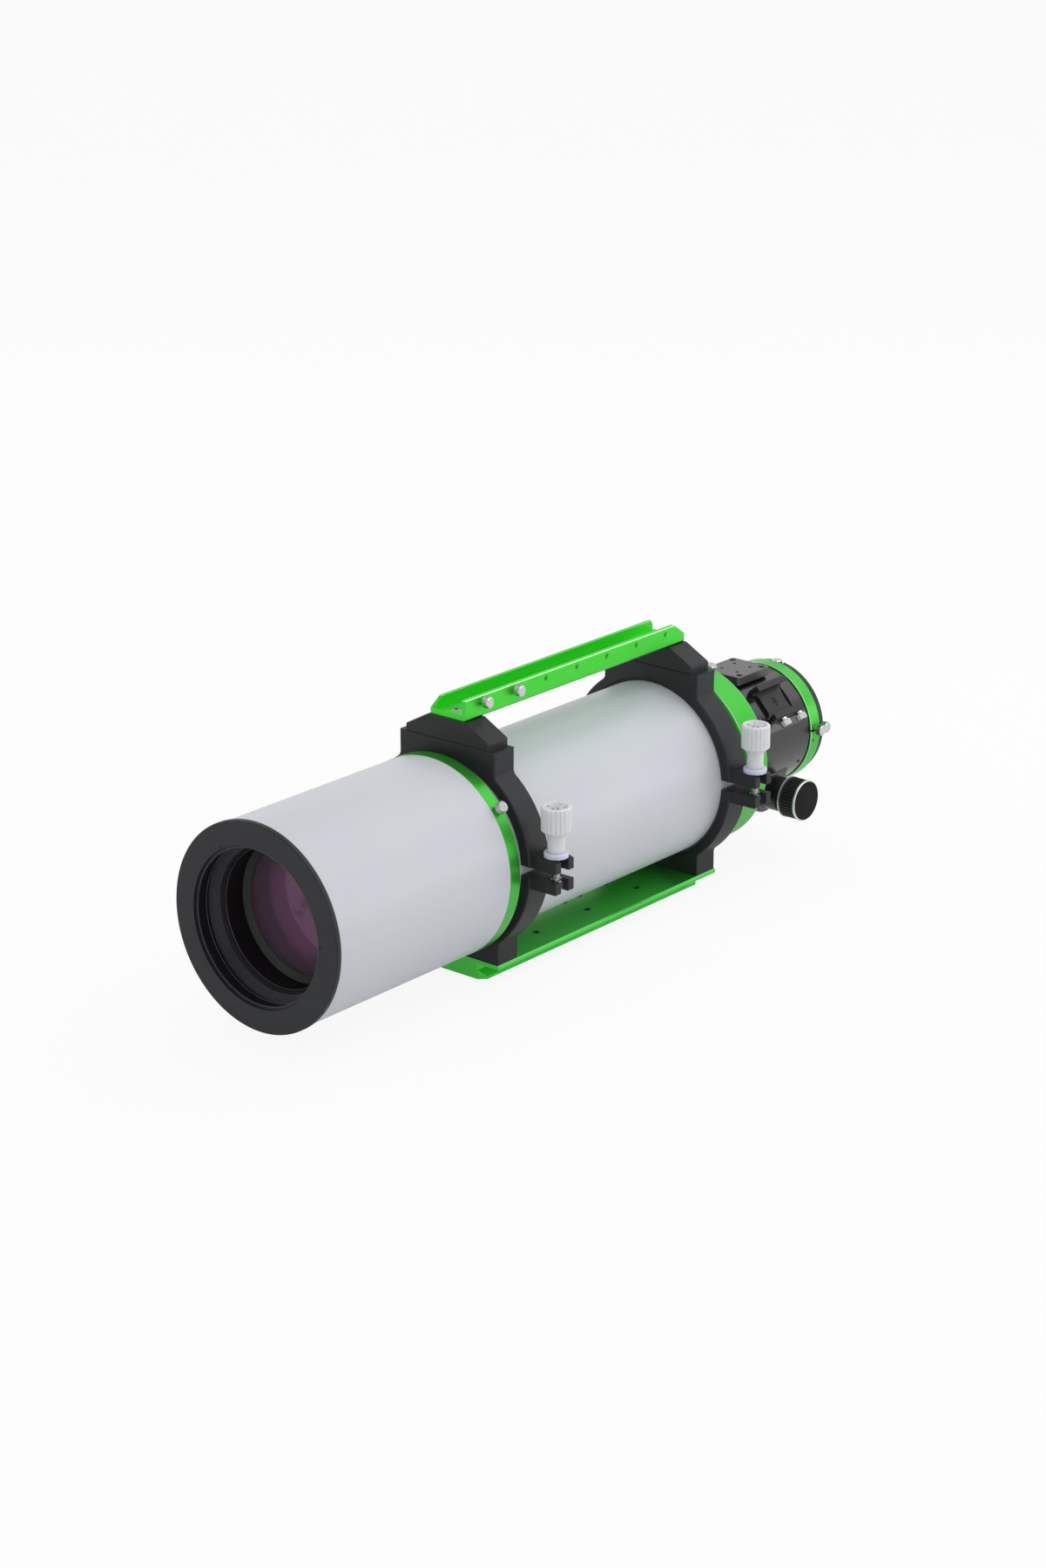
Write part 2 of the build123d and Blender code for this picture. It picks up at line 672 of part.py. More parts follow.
def clamp_knob(y):
    """Fluted plastic knob with a waisted neck and a shallow dish on top."""
    grip_low = KNOB_NECK_LENGTH + KNOB_CONE_LENGTH
    grip_top = grip_low + KNOB_GRIP_LENGTH
    dish = grip_top - KNOB_DISH_DEPTH
    dish_rim = KNOB_GRIP_R - KNOB_DISH_RIM
    bore = BOLT_R + RUN_GAP
    bore_end = KNOB_NECK_LENGTH + KNOB_BORE_DEPTH
    knob = spun([
        (bore, 0), (KNOB_NECK_R, 0), (KNOB_NECK_R, KNOB_NECK_LENGTH), (KNOB_GRIP_R, grip_low),
        (KNOB_GRIP_R, grip_top - KNOB_EDGE), (KNOB_GRIP_R - KNOB_EDGE, grip_top), (dish_rim, grip_top),
        (dish_rim - KNOB_DISH_SLOPE, dish), (0, dish), (0, bore_end), (bore, bore_end),
    ])
    flute_length = 2 * (grip_top - KNOB_NECK_LENGTH - OVER)
    flute = Pos(KNOB_GRIP_R + FLUTE_SHIFT, 0, grip_top) * Cylinder(FLUTE_R, flute_length)
    knob -= [Rot(Z=360 * i / KNOB_FLUTES) * flute for i in range(KNOB_FLUTES)]
    return upright(PIVOT_X, y, PIVOT_LEVEL + knob_seat() + KNOB_WASHER_THICK) * knob


def dovetail_plate():
    """Flanged plate whose lower part is the dovetail that a mount's saddle grips."""
    low = -AXIS_Z
    top = low + PLATE_HEIGHT
    flange_low = top - FLANGE_THICK
    right = [
        (DOVETAIL_HALF, low), (DOVETAIL_HALF, low + DOVETAIL_EDGE), (NECK_HALF, low + DOVETAIL_RISE),
        (NECK_HALF, flange_low), (FLANGE_HALF, flange_low), (FLANGE_HALF, top - FLANGE_EDGE),
        (FLANGE_HALF - FLANGE_EDGE, top),
    ]
    left = [(-x, level) for x, level in reversed(right)]
    plate = slab(Polygon(*right, *left, align=None), -PLATE_LENGTH / 2, PLATE_LENGTH / 2)
    corner_side = CORNER_CUT * math.sqrt(2)
    corner = Rot(Z=45) * Box(corner_side, corner_side, 2 * (PLATE_HEIGHT - FLANGE_THICK))
    for x in both(DOVETAIL_HALF):
        for y in both(PLATE_LENGTH / 2):
            plate -= Pos(x, y, 0) * corner
    through = (-OVER, PLATE_HEIGHT + OVER)
    for x in both(SIDE_HOLE_X):
        for i in (-1, 0, 1):
            plate -= rod(SIDE_HOLE_R, upright(x, SIDE_HOLE_MIDDLE + i * SIDE_HOLE_PITCH, low), *through)
    for y in MID_HOLE_STATIONS:
        plate -= rod(MID_HOLE_R, upright(MID_HOLE_X, y, low), *through)
    for x in both(FOOT_SCREW_X):
        for y in both(RING_OFFSET):
            plate -= rod(FOOT_SCREW[2] + SEAT_GAP, upright(x, y, low), *through)
            plate -= rod(FOOT_SCREW[0] + HEAD_GAP, upright(x, y, low), -OVER, FOOT_SCREW_DEPTH)
    return plate


def ring_screws():
    """Screws up through the plate into the ring feet, and down through the bar into the lids."""
    foot_length = PLATE_HEIGHT - FOOT_SCREW_DEPTH + FOOT_SCREW_GRIP
    bar_seat_level = CROWN_TOP_LEVEL + BAR_FLOOR - BAR_SCREW_DEPTH
    screws = []
    for y in both(RING_OFFSET):
        for x in both(FOOT_SCREW_X):
            screws.append(socket_screw(downright(x, y, FOOT_SCREW_DEPTH - AXIS_Z), foot_length, FOOT_SCREW))
        length = BAR_SCREW_LENGTH - HOLE_END
        screws.append(socket_screw(upright(0, y, bar_seat_level), length, BAR_SCREW))
    return Compound(screws)


def wall_end_cut(side, end, top, cut):
    """Wedge that slopes one wall of the bar down towards one of its ends."""
    run, drop = cut
    tip = end * BAR_LENGTH / 2
    start = tip - end * run
    high = AXIS_Z + top
    wedge = Plane.YZ * Polygon(
        (tip + end * OVER, high + OVER), (start, high + OVER), (start, high), (tip, high - drop),
        (tip + end * OVER, high - drop), align=None,
    )
    return Pos(side * BAR_HALF, 0, 0) * extrude(wedge, amount=BAR_HALF / 2, both=True)


def top_bar():
    """Dovetail channel that doubles as the carrying handle; its far wall is the lower one."""
    low = CROWN_TOP_LEVEL
    floor = low + BAR_FLOOR
    near_top = low + BAR_NEAR_HEIGHT
    far_top = low + BAR_FAR_HEIGHT
    lean = (BAR_SLOT_LOW_HALF - BAR_SLOT_TOP_HALF) / (BAR_NEAR_HEIGHT - BAR_FLOOR)
    far_slot_half = BAR_SLOT_LOW_HALF - lean * (BAR_FAR_HEIGHT - BAR_FLOOR)
    section = Polygon(
        (-BAR_HALF + BAR_FOOT_EDGE, low), (BAR_HALF - BAR_FOOT_EDGE, low), (BAR_HALF, low + BAR_FOOT_EDGE),
        (BAR_HALF, near_top - EDGE), (BAR_HALF - EDGE, near_top), (BAR_SLOT_TOP_HALF, near_top),
        (BAR_SLOT_LOW_HALF, floor), (-BAR_SLOT_LOW_HALF, floor), (-far_slot_half, far_top),
        (-BAR_HALF + EDGE, far_top), (-BAR_HALF, far_top - EDGE), (-BAR_HALF, low + BAR_FOOT_EDGE),
        align=None,
    )
    bar = slab(section, -BAR_LENGTH / 2, BAR_LENGTH / 2)
    bar -= wall_end_cut(1, 1, near_top, NEAR_REAR_CUT)
    bar -= wall_end_cut(-1, -1, far_top, FAR_FRONT_CUT)
    bar -= wall_end_cut(-1, 1, far_top, FAR_REAR_CUT)
    for y in bar_hole_stations():
        bar -= rod(SCREW_HOLE_R, bar_seat(y), BAR_SLOT_TOP_HALF - BAR_HALF - 2 * OVER, OVER)
    for y in both(RING_OFFSET):
        bar -= rod(BAR_SCREW[2] + SEAT_GAP, upright(0, y, low), -OVER, BAR_FLOOR + OVER)
        bar -= rod(BAR_SCREW[0] + HEAD_GAP, upright(0, y, low), BAR_FLOOR - BAR_SCREW_DEPTH, BAR_FLOOR + OVER)
    return bar


def bar_hole_stations():
    middle = (BAR_HOLE_COUNT - 1) / 2
    return [BAR_HOLE_MIDDLE + (i - middle) * BAR_HOLE_PITCH for i in range(BAR_HOLE_COUNT)]


def bar_seat(y):
    return Plane(origin=(BAR_HALF, y, AXIS_Z + BAR_HOLE_LEVEL), x_dir=(0, 1, 0), z_dir=(1, 0, 0))


def bar_thumbscrew(index):
    return thumbscrew(bar_seat(bar_hole_stations()[index]), BAR_HALF - BAR_SLOT_TOP_HALF - FREE_GAP)


def rotation_lock_seat():
    return radial(ROTATION_LOCK_ANGLE, ROTATION_LOCK_Y, TAIL_R)


def tail_ring():
    socket_r = TUBE_R + SEAT_GAP
    bore = SPIGOT_R + RUN_GAP
    ring = turned([
        (socket_r, TAIL_FRONT), (TAIL_R - EDGE, TAIL_FRONT), (TAIL_R, TAIL_FRONT + EDGE), (TAIL_R, TAIL_RIM),
        (TAIL_REAR_R, TAIL_REAR), (bore, TAIL_REAR), (bore, TUBE_REAR), (socket_r, TUBE_REAR),
    ])
    return ring - rod(SCREW_HOLE_R, rotation_lock_seat(), bore - TAIL_R - OVER, OVER)


def rotation_lock_screw():
    return thumbscrew(rotation_lock_seat(), TAIL_R - SPIGOT_R - FREE_GAP)


def rotation_collar():
    """Ring on the spigot that keeps the focuser in the tail ring while it turns."""
    return sleeve(SPIGOT_R + SEAT_GAP, COLLAR_R, COLLAR_FRONT, TUBE_REAR - FREE_GAP)


def focuser_adapter():
    """Spigot that turns in the tail ring, with the flange that the focuser body is set in."""
    front = TAIL_REAR + FREE_GAP
    seat = ADAPTER_REAR - ADAPTER_SEAT_DEPTH
    return turned([
        (BODY_BORE, COLLAR_FRONT), (SPIGOT_R, COLLAR_FRONT), (SPIGOT_R, front), (ADAPTER_R, front),
        (ADAPTER_R, ADAPTER_REAR - ADAPTER_EDGE), (ADAPTER_R - ADAPTER_EDGE, ADAPTER_REAR),
        (ADAPTER_SEAT_R, ADAPTER_REAR), (ADAPTER_SEAT_R, seat), (BODY_BORE, seat),
    ])


def shoe_seat(level=0.0):
    return radial(SHOE_ANGLE, SHOE_Y, SHOE_SEAT_R + level)


def focuser_body():
    """Barrel with a pad for the top plate, a flat for the finder shoe and a pocket for the pinion housing."""
    spigot_r = ADAPTER_SEAT_R - SEAT_GAP
    front = ADAPTER_REAR - ADAPTER_SEAT_DEPTH
    body = turned([
        (BODY_BORE, front), (spigot_r, front), (spigot_r, ADAPTER_REAR), (BODY_R, ADAPTER_REAR),
        (BODY_R, BODY_REAR - BODY_EDGE), (BODY_R - BODY_EDGE, BODY_REAR), (BODY_BORE, BODY_REAR),
    ])
    pad_front, pad_rear = spread(TOP_PLATE_Y, TOP_PLATE_LENGTH - 2 * PAD_MARGIN)
    body += block((-PAD_HALF, pad_front, BODY_BORE + PAD_MARGIN), (PAD_HALF, pad_rear, PAD_LEVEL))
    plate_front, plate_rear = spread(TOP_PLATE_Y, TOP_PLATE_LENGTH + 2 * FREE_GAP)
    body -= block((-BODY_R, plate_front, PAD_LEVEL), (BODY_R, plate_rear, BODY_R + OVER))
    flat_depth = BODY_R - SHOE_SEAT_R + OVER
    flat = Box(SHOE_LENGTH + 2 * FREE_GAP, 2 * SHOE_HALF, flat_depth)
    body -= shoe_seat() * (Pos(0, 0, flat_depth / 2) * flat)
    pocket_front, pocket_rear = spread(PINION_Y, 2 * (HOUSING_R + SEAT_GAP))
    body -= block((-BODY_R, pocket_front, -BODY_R - OVER), (BODY_R, pocket_rear, HOUSING_TOP))
    for seat in top_plate_seats(OUTER_HOLES):
        depth = TOP_PLATE_THICK + PLATE_SCREW_GRIP + HOLE_END
        body -= rod(PLATE_SCREW[2] + SEAT_GAP, seat, -depth, OVER)
    body -= rod(SHOE_SCREW[2] + SEAT_GAP, shoe_seat(), -SHOE_SCREW_GRIP - HOLE_END, OVER)
    for x, y in housing_screw_places():
        seat = upright(x, y, HOUSING_TOP)
        body -= rod(HOUSING_SCREW[2] + SEAT_GAP, seat, -OVER, HOUSING_SCREW_GRIP + HOLE_END)
    return body


def top_plate_seats(spacing):
    """Seats of a rectangle of holes in the accessory plate."""
    level = PAD_LEVEL + TOP_PLATE_THICK
    return [upright(x, TOP_PLATE_Y + y, level) for x in both(spacing[0] / 2) for y in both(spacing[1] / 2)]


def accessory_plate():
    outline = chamfer(Rectangle(2 * TOP_PLATE_HALF, TOP_PLATE_LENGTH).vertices(), TOP_PLATE_CUT)
    plate = upright(0, TOP_PLATE_Y, PAD_LEVEL) * extrude(outline, amount=TOP_PLATE_THICK)
    plate = chamfer(plate.faces().sort_by(Axis.Z)[-1].edges(), TOP_PLATE_EDGE)
    for seat in top_plate_seats(INNER_HOLES):
        plate -= rod(TAPPED_R, seat, -TOP_PLATE_THICK - OVER, OVER)
    for seat in top_plate_seats(OUTER_HOLES):
        plate -= rod(PLATE_SCREW[2] + SEAT_GAP, seat, -TOP_PLATE_THICK - OVER, OVER)
        plate -= rod(PLATE_SCREW[0] + HEAD_GAP, seat, -PLATE_SCREW_DEPTH, OVER)
    return plate


def shoe_screw_seats():
    """Seats of the two thumbscrews on the lower rail of the shoe."""
    rail = shoe_seat(SHOE_SCREW_LEVEL)
    return [Plane(rail * Pos(y, -SHOE_HALF, 0) * Rot(X=90)) for y in SHOE_SCREW_STATIONS]


def finder_shoe():
    """Dovetail shoe: a short floor between two longer rails that lean inwards."""
    section = Plane.YZ * Polygon(
        (-SHOE_HALF, 0), (SHOE_HALF, 0), (SHOE_HALF, SHOE_HEIGHT - SHOE_EDGE),
        (SHOE_HALF - SHOE_EDGE, SHOE_HEIGHT), (SHOE_SLOT_TOP_HALF, SHOE_HEIGHT),
        (SHOE_SLOT_LOW_HALF, SHOE_FLOOR), (-SHOE_SLOT_LOW_HALF, SHOE_FLOOR),
        (-SHOE_SLOT_TOP_HALF, SHOE_HEIGHT), (-SHOE_HALF + SHOE_EDGE, SHOE_HEIGHT),
        (-SHOE_HALF, SHOE_HEIGHT - SHOE_EDGE), align=None,
    )
    plan = RectangleRounded(SHOE_LENGTH, 2 * SHOE_HALF, SHOE_CORNER)
    shoe = extrude(section, amount=SHOE_LENGTH / 2, both=True) & extrude(plan, amount=SHOE_HEIGHT)
    scallop = RectangleRounded(2 * SCALLOP_DEPTH, 2 * SHOE_SLOT_TOP_HALF, SCALLOP_CORNER)
    for x in both(SHOE_LENGTH / 2):
        shoe -= Pos(x, 0, 0) * extrude(scallop, amount=SHOE_HEIGHT)
    shoe = shoe_seat() * shoe
    shoe -= rod(SHOE_SCREW[2] + SEAT_GAP, shoe_seat(), -OVER, SHOE_FLOOR + OVER)
    shoe -= rod(SHOE_SCREW[0] + HEAD_GAP, shoe_seat(), SHOE_SCREW_SEAT, SHOE_FLOOR + OVER)
    for seat in shoe_screw_seats():
        shoe -= rod(SCREW_HOLE_R, seat, SHOE_SLOT_TOP_HALF - SHOE_HALF - 2 * OVER, OVER)
    return shoe


def finder_screw(index):
    return thumbscrew(shoe_screw_seats()[index], SHOE_HALF - SHOE_SLOT_LOW_HALF - SHOE_SCREW_SHORT)


def drawtube_bushes():
    """Low-friction rings that carry the drawtube, notched for the rack."""
    notch = RACK_HALF + FREE_GAP
    rings = []
    for y in BUSH_STATIONS:
        ring = sleeve(DRAW_R + RUN_GAP, BODY_BORE - SEAT_GAP, y, y + BUSH_WIDTH)
        low = PINION_LEVEL + PITCH_R - 2 * OVER
        rings.append(ring - block((-notch, y - OVER, low), (notch, y + BUSH_WIDTH + OVER, -DRAW_BORE)))
    return Compound(rings)


def housing_screw_places():
    return [(x, PINION_Y + y) for x in both(HOUSING_SCREW_X) for y in both(HOUSING_SCREW_Y)]


def housing_shell():
    """Half-round trough about the pinion axis whose sides slope out to the barrel, with a boss on each."""
    low = PINION_LEVEL - HOUSING_R
    trough = Circle(HOUSING_R) + strip(-HOUSING_R, 0, HOUSING_R, CHEEK_LEVEL - PINION_LEVEL)
    slopes = Polygon(
        (-HOUSING_LOW_HALF, low), (HOUSING_LOW_HALF, low), (HOUSING_TOP_HALF, CHEEK_LEVEL),
        (-HOUSING_TOP_HALF, CHEEK_LEVEL), align=None,
    )
    shell = ACROSS * extrude(trough, amount=HOUSING_TOP_HALF, both=True)
    shell &= slab(slopes, *spread(PINION_Y, 2 * HOUSING_R))
    sides = shell.faces().sort_by(Axis.X)
    shell = fillet(sides[0].edges() + sides[-1].edges(), HOUSING_EDGE)
    shell += rod(BOSS_R, ACROSS, -BOSS_END, BOSS_END)
    front, rear = spread(PINION_Y, 3 * HOUSING_R)
    barrel = sleeve(0, BODY_R + SEAT_GAP, front, rear)
    return shell - (barrel & block((-BODY_R, front, HOUSING_TOP), (BODY_R, rear, BODY_R)))


def pinion_housing():
    """Cap under the body that carries the pinion shaft in two bosses."""
    cavity = PITCH_R + PINION_ADDENDUM + PINION_RELIEF
    half = PINION_HALF + OVER
    housing = housing_shell()
    housing -= block((-half, PINION_Y - cavity, PINION_LEVEL - cavity), (half, PINION_Y + cavity, 0))
    housing -= rod(SHAFT_R + FREE_GAP, ACROSS, -BOSS_END - OVER, BOSS_END + OVER)
    for side in (-1, 1):
        housing -= rod(BUSH_R, ACROSS, *sorted((side * BUSH_INNER, side * (BOSS_END + OVER))))
    head_r, _, shank_r = HOUSING_SCREW
    for x, y in housing_screw_places():
        housing -= rod(shank_r + SEAT_GAP, upright(x, y, HOUSING_SCREW_LEVEL), -OVER, HOUSING_R)
        housing -= rod(head_r + HEAD_GAP, downright(x, y, HOUSING_SCREW_LEVEL), 0, HOUSING_R)
    housing -= rod(SPOT_FACE_R, focus_lock_seat(), 0, HOUSING_R)
    return housing - rod(SCREW_HOLE_R, focus_lock_seat(), FOCUS_LOCK_LEVEL, OVER)


def focuser_screws():
    """Screws of the accessory plate, the finder shoe and the pinion housing."""
    plate_length = TOP_PLATE_THICK - PLATE_SCREW_DEPTH + PLATE_SCREW_GRIP
    screws = [
        socket_screw(seat * Pos(0, 0, -PLATE_SCREW_DEPTH), plate_length, PLATE_SCREW)
        for seat in top_plate_seats(OUTER_HOLES)
    ]
    screws.append(socket_screw(shoe_seat(SHOE_SCREW_SEAT), SHOE_SCREW_SEAT + SHOE_SCREW_GRIP, SHOE_SCREW))
    housing_length = HOUSING_TOP - HOUSING_SCREW_LEVEL + HOUSING_SCREW_GRIP
    for x, y in housing_screw_places():
        screws.append(socket_screw(downright(x, y, HOUSING_SCREW_LEVEL), housing_length, HOUSING_SCREW))
    return Compound(screws)


def focus_lock_seat():
    return downright(FOCUS_LOCK_X, FOCUS_LOCK_Y, FOCUS_LOCK_LEVEL)


def focus_lock_screw():
    """Thumbscrew that reaches up past the rack and bears on the drawtube."""
    tip_level = -math.sqrt(DRAW_R ** 2 - (abs(FOCUS_LOCK_X) - SCREW_R) ** 2) - FREE_GAP
    return thumbscrew(focus_lock_seat(), tip_level - FOCUS_LOCK_LEVEL)


def pinion_bushes():
    shaft_hole = rod(SHAFT_R + RUN_GAP, ACROSS, -BOSS_END - OVER, BOSS_END + OVER)
    return Compound([
        rod(BUSH_R - SEAT_GAP, ACROSS, *ends) - shaft_hole
        for ends in ((-BOSS_END, -BUSH_INNER), (BUSH_INNER, BOSS_END))
    ])


def drawtube():
    """Plain tube with a flat milled along its underside for the rack."""
    front = RACK_FRONT - RACK_FLAT_MARGIN
    rear = RACK_FRONT + RACK_TEETH * TOOTH_PITCH + RACK_FLAT_MARGIN
    flat = block((-DRAW_R, front, -DRAW_R - OVER), (DRAW_R, rear, RACK_TOP_LEVEL))
    return sleeve(DRAW_BORE, DRAW_R, DRAW_FRONT, DRAW_REAR) - flat


def rack():
    """Straight rack whose tooth space lies over the pinion when the drawtube is fully in."""
    pitch_level = PINION_LEVEL + PITCH_R
    tip = pitch_level - RACK_ADDENDUM
    root = pitch_level + PINION_ADDENDUM + TOOTH_GAP
    slope = math.tan(math.radians(PRESSURE_ANGLE))
    tip_half = TOOTH_THICK / 2 - slope * RACK_ADDENDUM
    root_half = TOOTH_THICK / 2 + slope * (root - pitch_level)
    first = PINION_Y - TOOTH_PITCH * (math.floor((PINION_Y - RACK_FRONT) / TOOTH_PITCH) - 0.5)
    teeth = []
    for i in range(RACK_TEETH):
        y = first + i * TOOTH_PITCH
        teeth += [(y - root_half, root), (y - tip_half, tip), (y + tip_half, tip), (y + root_half, root)]
    start = teeth[0][0] - RACK_LAND
    end = teeth[-1][0] + RACK_LAND
    outline = [(start, RACK_TOP_LEVEL), (start, root)] + teeth + [(end, root), (end, RACK_TOP_LEVEL)]
    section = Plane.YZ * make_face(Polyline(*outline, close=True))
    return Pos(0, 0, AXIS_Z) * extrude(section, amount=RACK_HALF, both=True)


def involute(base_r, radius):
    """Polar angle of an involute of a base circle, at a radius."""
    pressure = math.acos(base_r / radius)
    return math.tan(pressure) - pressure


def pinion_outline():
    """Involute teeth, with one tooth pointing straight up."""
    base_r = PITCH_R * math.cos(math.radians(PRESSURE_ANGLE))
    tip_r = PITCH_R + PINION_ADDENDUM
    root_r = PITCH_R - RACK_ADDENDUM - TOOTH_GAP
    half = TOOTH_THICK / (2 * PITCH_R) + involute(base_r, PITCH_R)
    radii = [base_r + (tip_r - base_r) * i / FLANK_STEPS for i in range(FLANK_STEPS + 1)]
    flank = [(root_r, half + ROOT_EASE)] + [(r, half - involute(base_r, r)) for r in radii]
    points = []
    for i in range(PINION_TEETH):
        middle = math.pi / 2 + 2 * math.pi * i / PINION_TEETH
        points += [(r, middle - a) for r, a in flank]
        points += [(r, middle + a) for r, a in reversed(flank)]
    return make_face(Polyline(*[(r * math.cos(a), r * math.sin(a)) for r, a in points], close=True))


def pinion_shaft():
    shaft = rod(SHAFT_R, ACROSS, -FINE_KNOB[0] + SHAFT_SHORT, RIGHT_KNOB[1] - SHAFT_SHORT)
    return shaft + ACROSS * extrude(pinion_outline(), amount=PINION_HALF, both=True)


def knob_plane(side):
    """Plane of the pinion axis facing out on one side, +1 for the right and -1 for the left."""
    return Plane(origin=ACROSS.origin, x_dir=(0, 1, 0), z_dir=(side, 0, 0))


def knob_core(side, inner, outer):
    """Bright hub with a trim flange at either end of the grip."""
    bore = SHAFT_R + SEAT_GAP
    grip_seat = FOCUS_KNOB_R - GRIP_WALL
    start = BOSS_END + FREE_GAP
    trim_r = FOCUS_TRIM_R
    return knob_plane(side) * spun([
        (bore, start), (FOCUS_HUB_R, start), (FOCUS_HUB_R, inner), (trim_r - TRIM_EDGE, inner),
        (trim_r, inner + TRIM_EDGE), (trim_r, inner + TRIM_WIDTH), (grip_seat, inner + TRIM_WIDTH),
        (grip_seat, outer - TRIM_WIDTH), (trim_r, outer - TRIM_WIDTH), (trim_r, outer - TRIM_EDGE),
        (trim_r - TRIM_EDGE, outer), (bore, outer),
    ])


def knob_grip(side, inner, outer):
    """Ribbed rubber sleeve between the two trims."""
    step = 2 * math.pi / GRIP_RIBS
    groove_r = FOCUS_KNOB_R - RIB_DEPTH
    outline = []
    for i in range(GRIP_RIBS):
        for share, radius in ((0.0, FOCUS_KNOB_R), (0.5, FOCUS_KNOB_R), (0.6, groove_r), (0.9, groove_r)):
            angle = (i + share) * step
            outline.append((radius * math.cos(angle), radius * math.sin(angle)))
    ring = make_face(Polyline(*outline, close=True)) - Circle(FOCUS_KNOB_R - GRIP_WALL + SEAT_GAP)
    length = outer - inner - 2 * TRIM_WIDTH
    return knob_plane(side) * (Pos(0, 0, inner + TRIM_WIDTH) * extrude(ring, amount=length))


def knob_cap():
    """Dark, slightly conical end cap of the right knob."""
    rim = FOCUS_TRIM_R - CAP_MARGIN
    start = RIGHT_KNOB[1]
    return knob_plane(1) * spun([(0, start), (rim, start), (rim, start + CAP_RIM), (0, start + CAP_RISE)])


def fine_knob():
    """Small reduction knob outside the left knob."""
    inner, outer = FINE_KNOB
    knob = spun([
        (0, inner), (FINE_KNOB_R - TRIM_EDGE, inner), (FINE_KNOB_R, inner + TRIM_EDGE),
        (FINE_KNOB_R, outer - FINE_EDGE), (FINE_KNOB_R - FINE_EDGE, outer), (FINE_DISH_R, outer),
        (FINE_DISH_R, outer - FINE_EDGE), (0, outer - FINE_EDGE),
    ])
    length = outer - inner - 2 * FINE_GROOVE_MARGIN
    groove = Pos(FINE_KNOB_R + FINE_GROOVE_SHIFT, 0, (inner + outer) / 2) * Cylinder(FINE_GROOVE_R, length)
    knob -= [Rot(Z=360 * i / FINE_GROOVES) * groove for i in range(FINE_GROOVES)]
    return knob_plane(-1) * knob


def end_screw_seat(name):
    return radial(*END_SCREWS[name])


def top_screw_recess():
    """Round recess that lets the top thumbscrew sit low between the two end rings."""
    return rod(TOP_RECESS_R, end_screw_seat("top"), 0, TOP_RECESS_R + SCREW_HEAD_LENGTH)


def rotator_ring():
    """Green ring clamped round the drawtube, slit in front of its thumbscrew."""
    bore = DRAW_R + SEAT_GAP
    rim = ROTATOR_R - ROTATOR_EDGE
    ring = turned([
        (bore, ROTATOR_FRONT), (rim, ROTATOR_FRONT), (ROTATOR_R, ROTATOR_FRONT + ROTATOR_EDGE),
        (ROTATOR_R, ROTATOR_REAR - ROTATOR_EDGE), (rim, ROTATOR_REAR), (bore, ROTATOR_REAR),
    ])
    seat = end_screw_seat("side")
    ring -= rod(SCREW_HOLE_R, seat, bore - ROTATOR_R - OVER, OVER)
    slit_length = END_SCREWS["side"][1] - ROTATOR_FRONT + OVER
    ring -= seat * (Pos(-slit_length / 2, 0, 0) * Box(slit_length, ROTATOR_SLIT, 2 * ROTATOR_SLIT_DEPTH))
    return ring - top_screw_recess()


def end_ring():
    """Black end flange with the two-inch eyepiece socket inside the drawtube."""
    sleeve_r = DRAW_BORE - SEAT_GAP
    groove_front, groove_rear = CLAMP_GROOVE
    ring = turned([
        (SOCKET_R, SOCKET_FRONT), (sleeve_r, SOCKET_FRONT), (sleeve_r, ROTATOR_REAR), (END_R, ROTATOR_REAR),
        (END_R, END_REAR - END_EDGE), (END_R - END_EDGE, END_REAR), (SOCKET_R + SOCKET_MOUTH, END_REAR),
        (SOCKET_R, END_REAR - SOCKET_MOUTH), (SOCKET_R, groove_rear), (CLAMP_GROOVE_R, groove_rear),
        (CLAMP_GROOVE_R, groove_front), (SOCKET_R, groove_front),
    ])
    ring -= top_screw_recess()
    for name in ("rear", "top"):
        seat_r = END_SCREWS[name][2]
        ring -= rod(SCREW_HOLE_R, end_screw_seat(name), CLAMP_GROOVE_R - seat_r - OVER, OVER)
    return ring


def compression_ring():
    """Split brass band that the rear and top thumbscrews press on."""
    front = CLAMP_GROOVE[0] + CLAMP_SIDE_GAP
    rear = CLAMP_GROOVE[1] - CLAMP_SIDE_GAP
    ring = sleeve(SOCKET_R + SEAT_GAP, CLAMP_GROOVE_R - SEAT_GAP, front, rear)
    split = block((-CLAMP_SPLIT, front - OVER, -CLAMP_GROOVE_R), (CLAMP_SPLIT, rear + OVER, -SOCKET_R + OVER))
    return ring - split


def end_screw(name):
    """Thumbscrew that stops just short of the drawtube or of the compression ring."""
    reach_r = DRAW_R if name == "side" else CLAMP_GROOVE_R
    return thumbscrew(end_screw_seat(name), END_SCREWS[name][2] - reach_r - FREE_GAP)


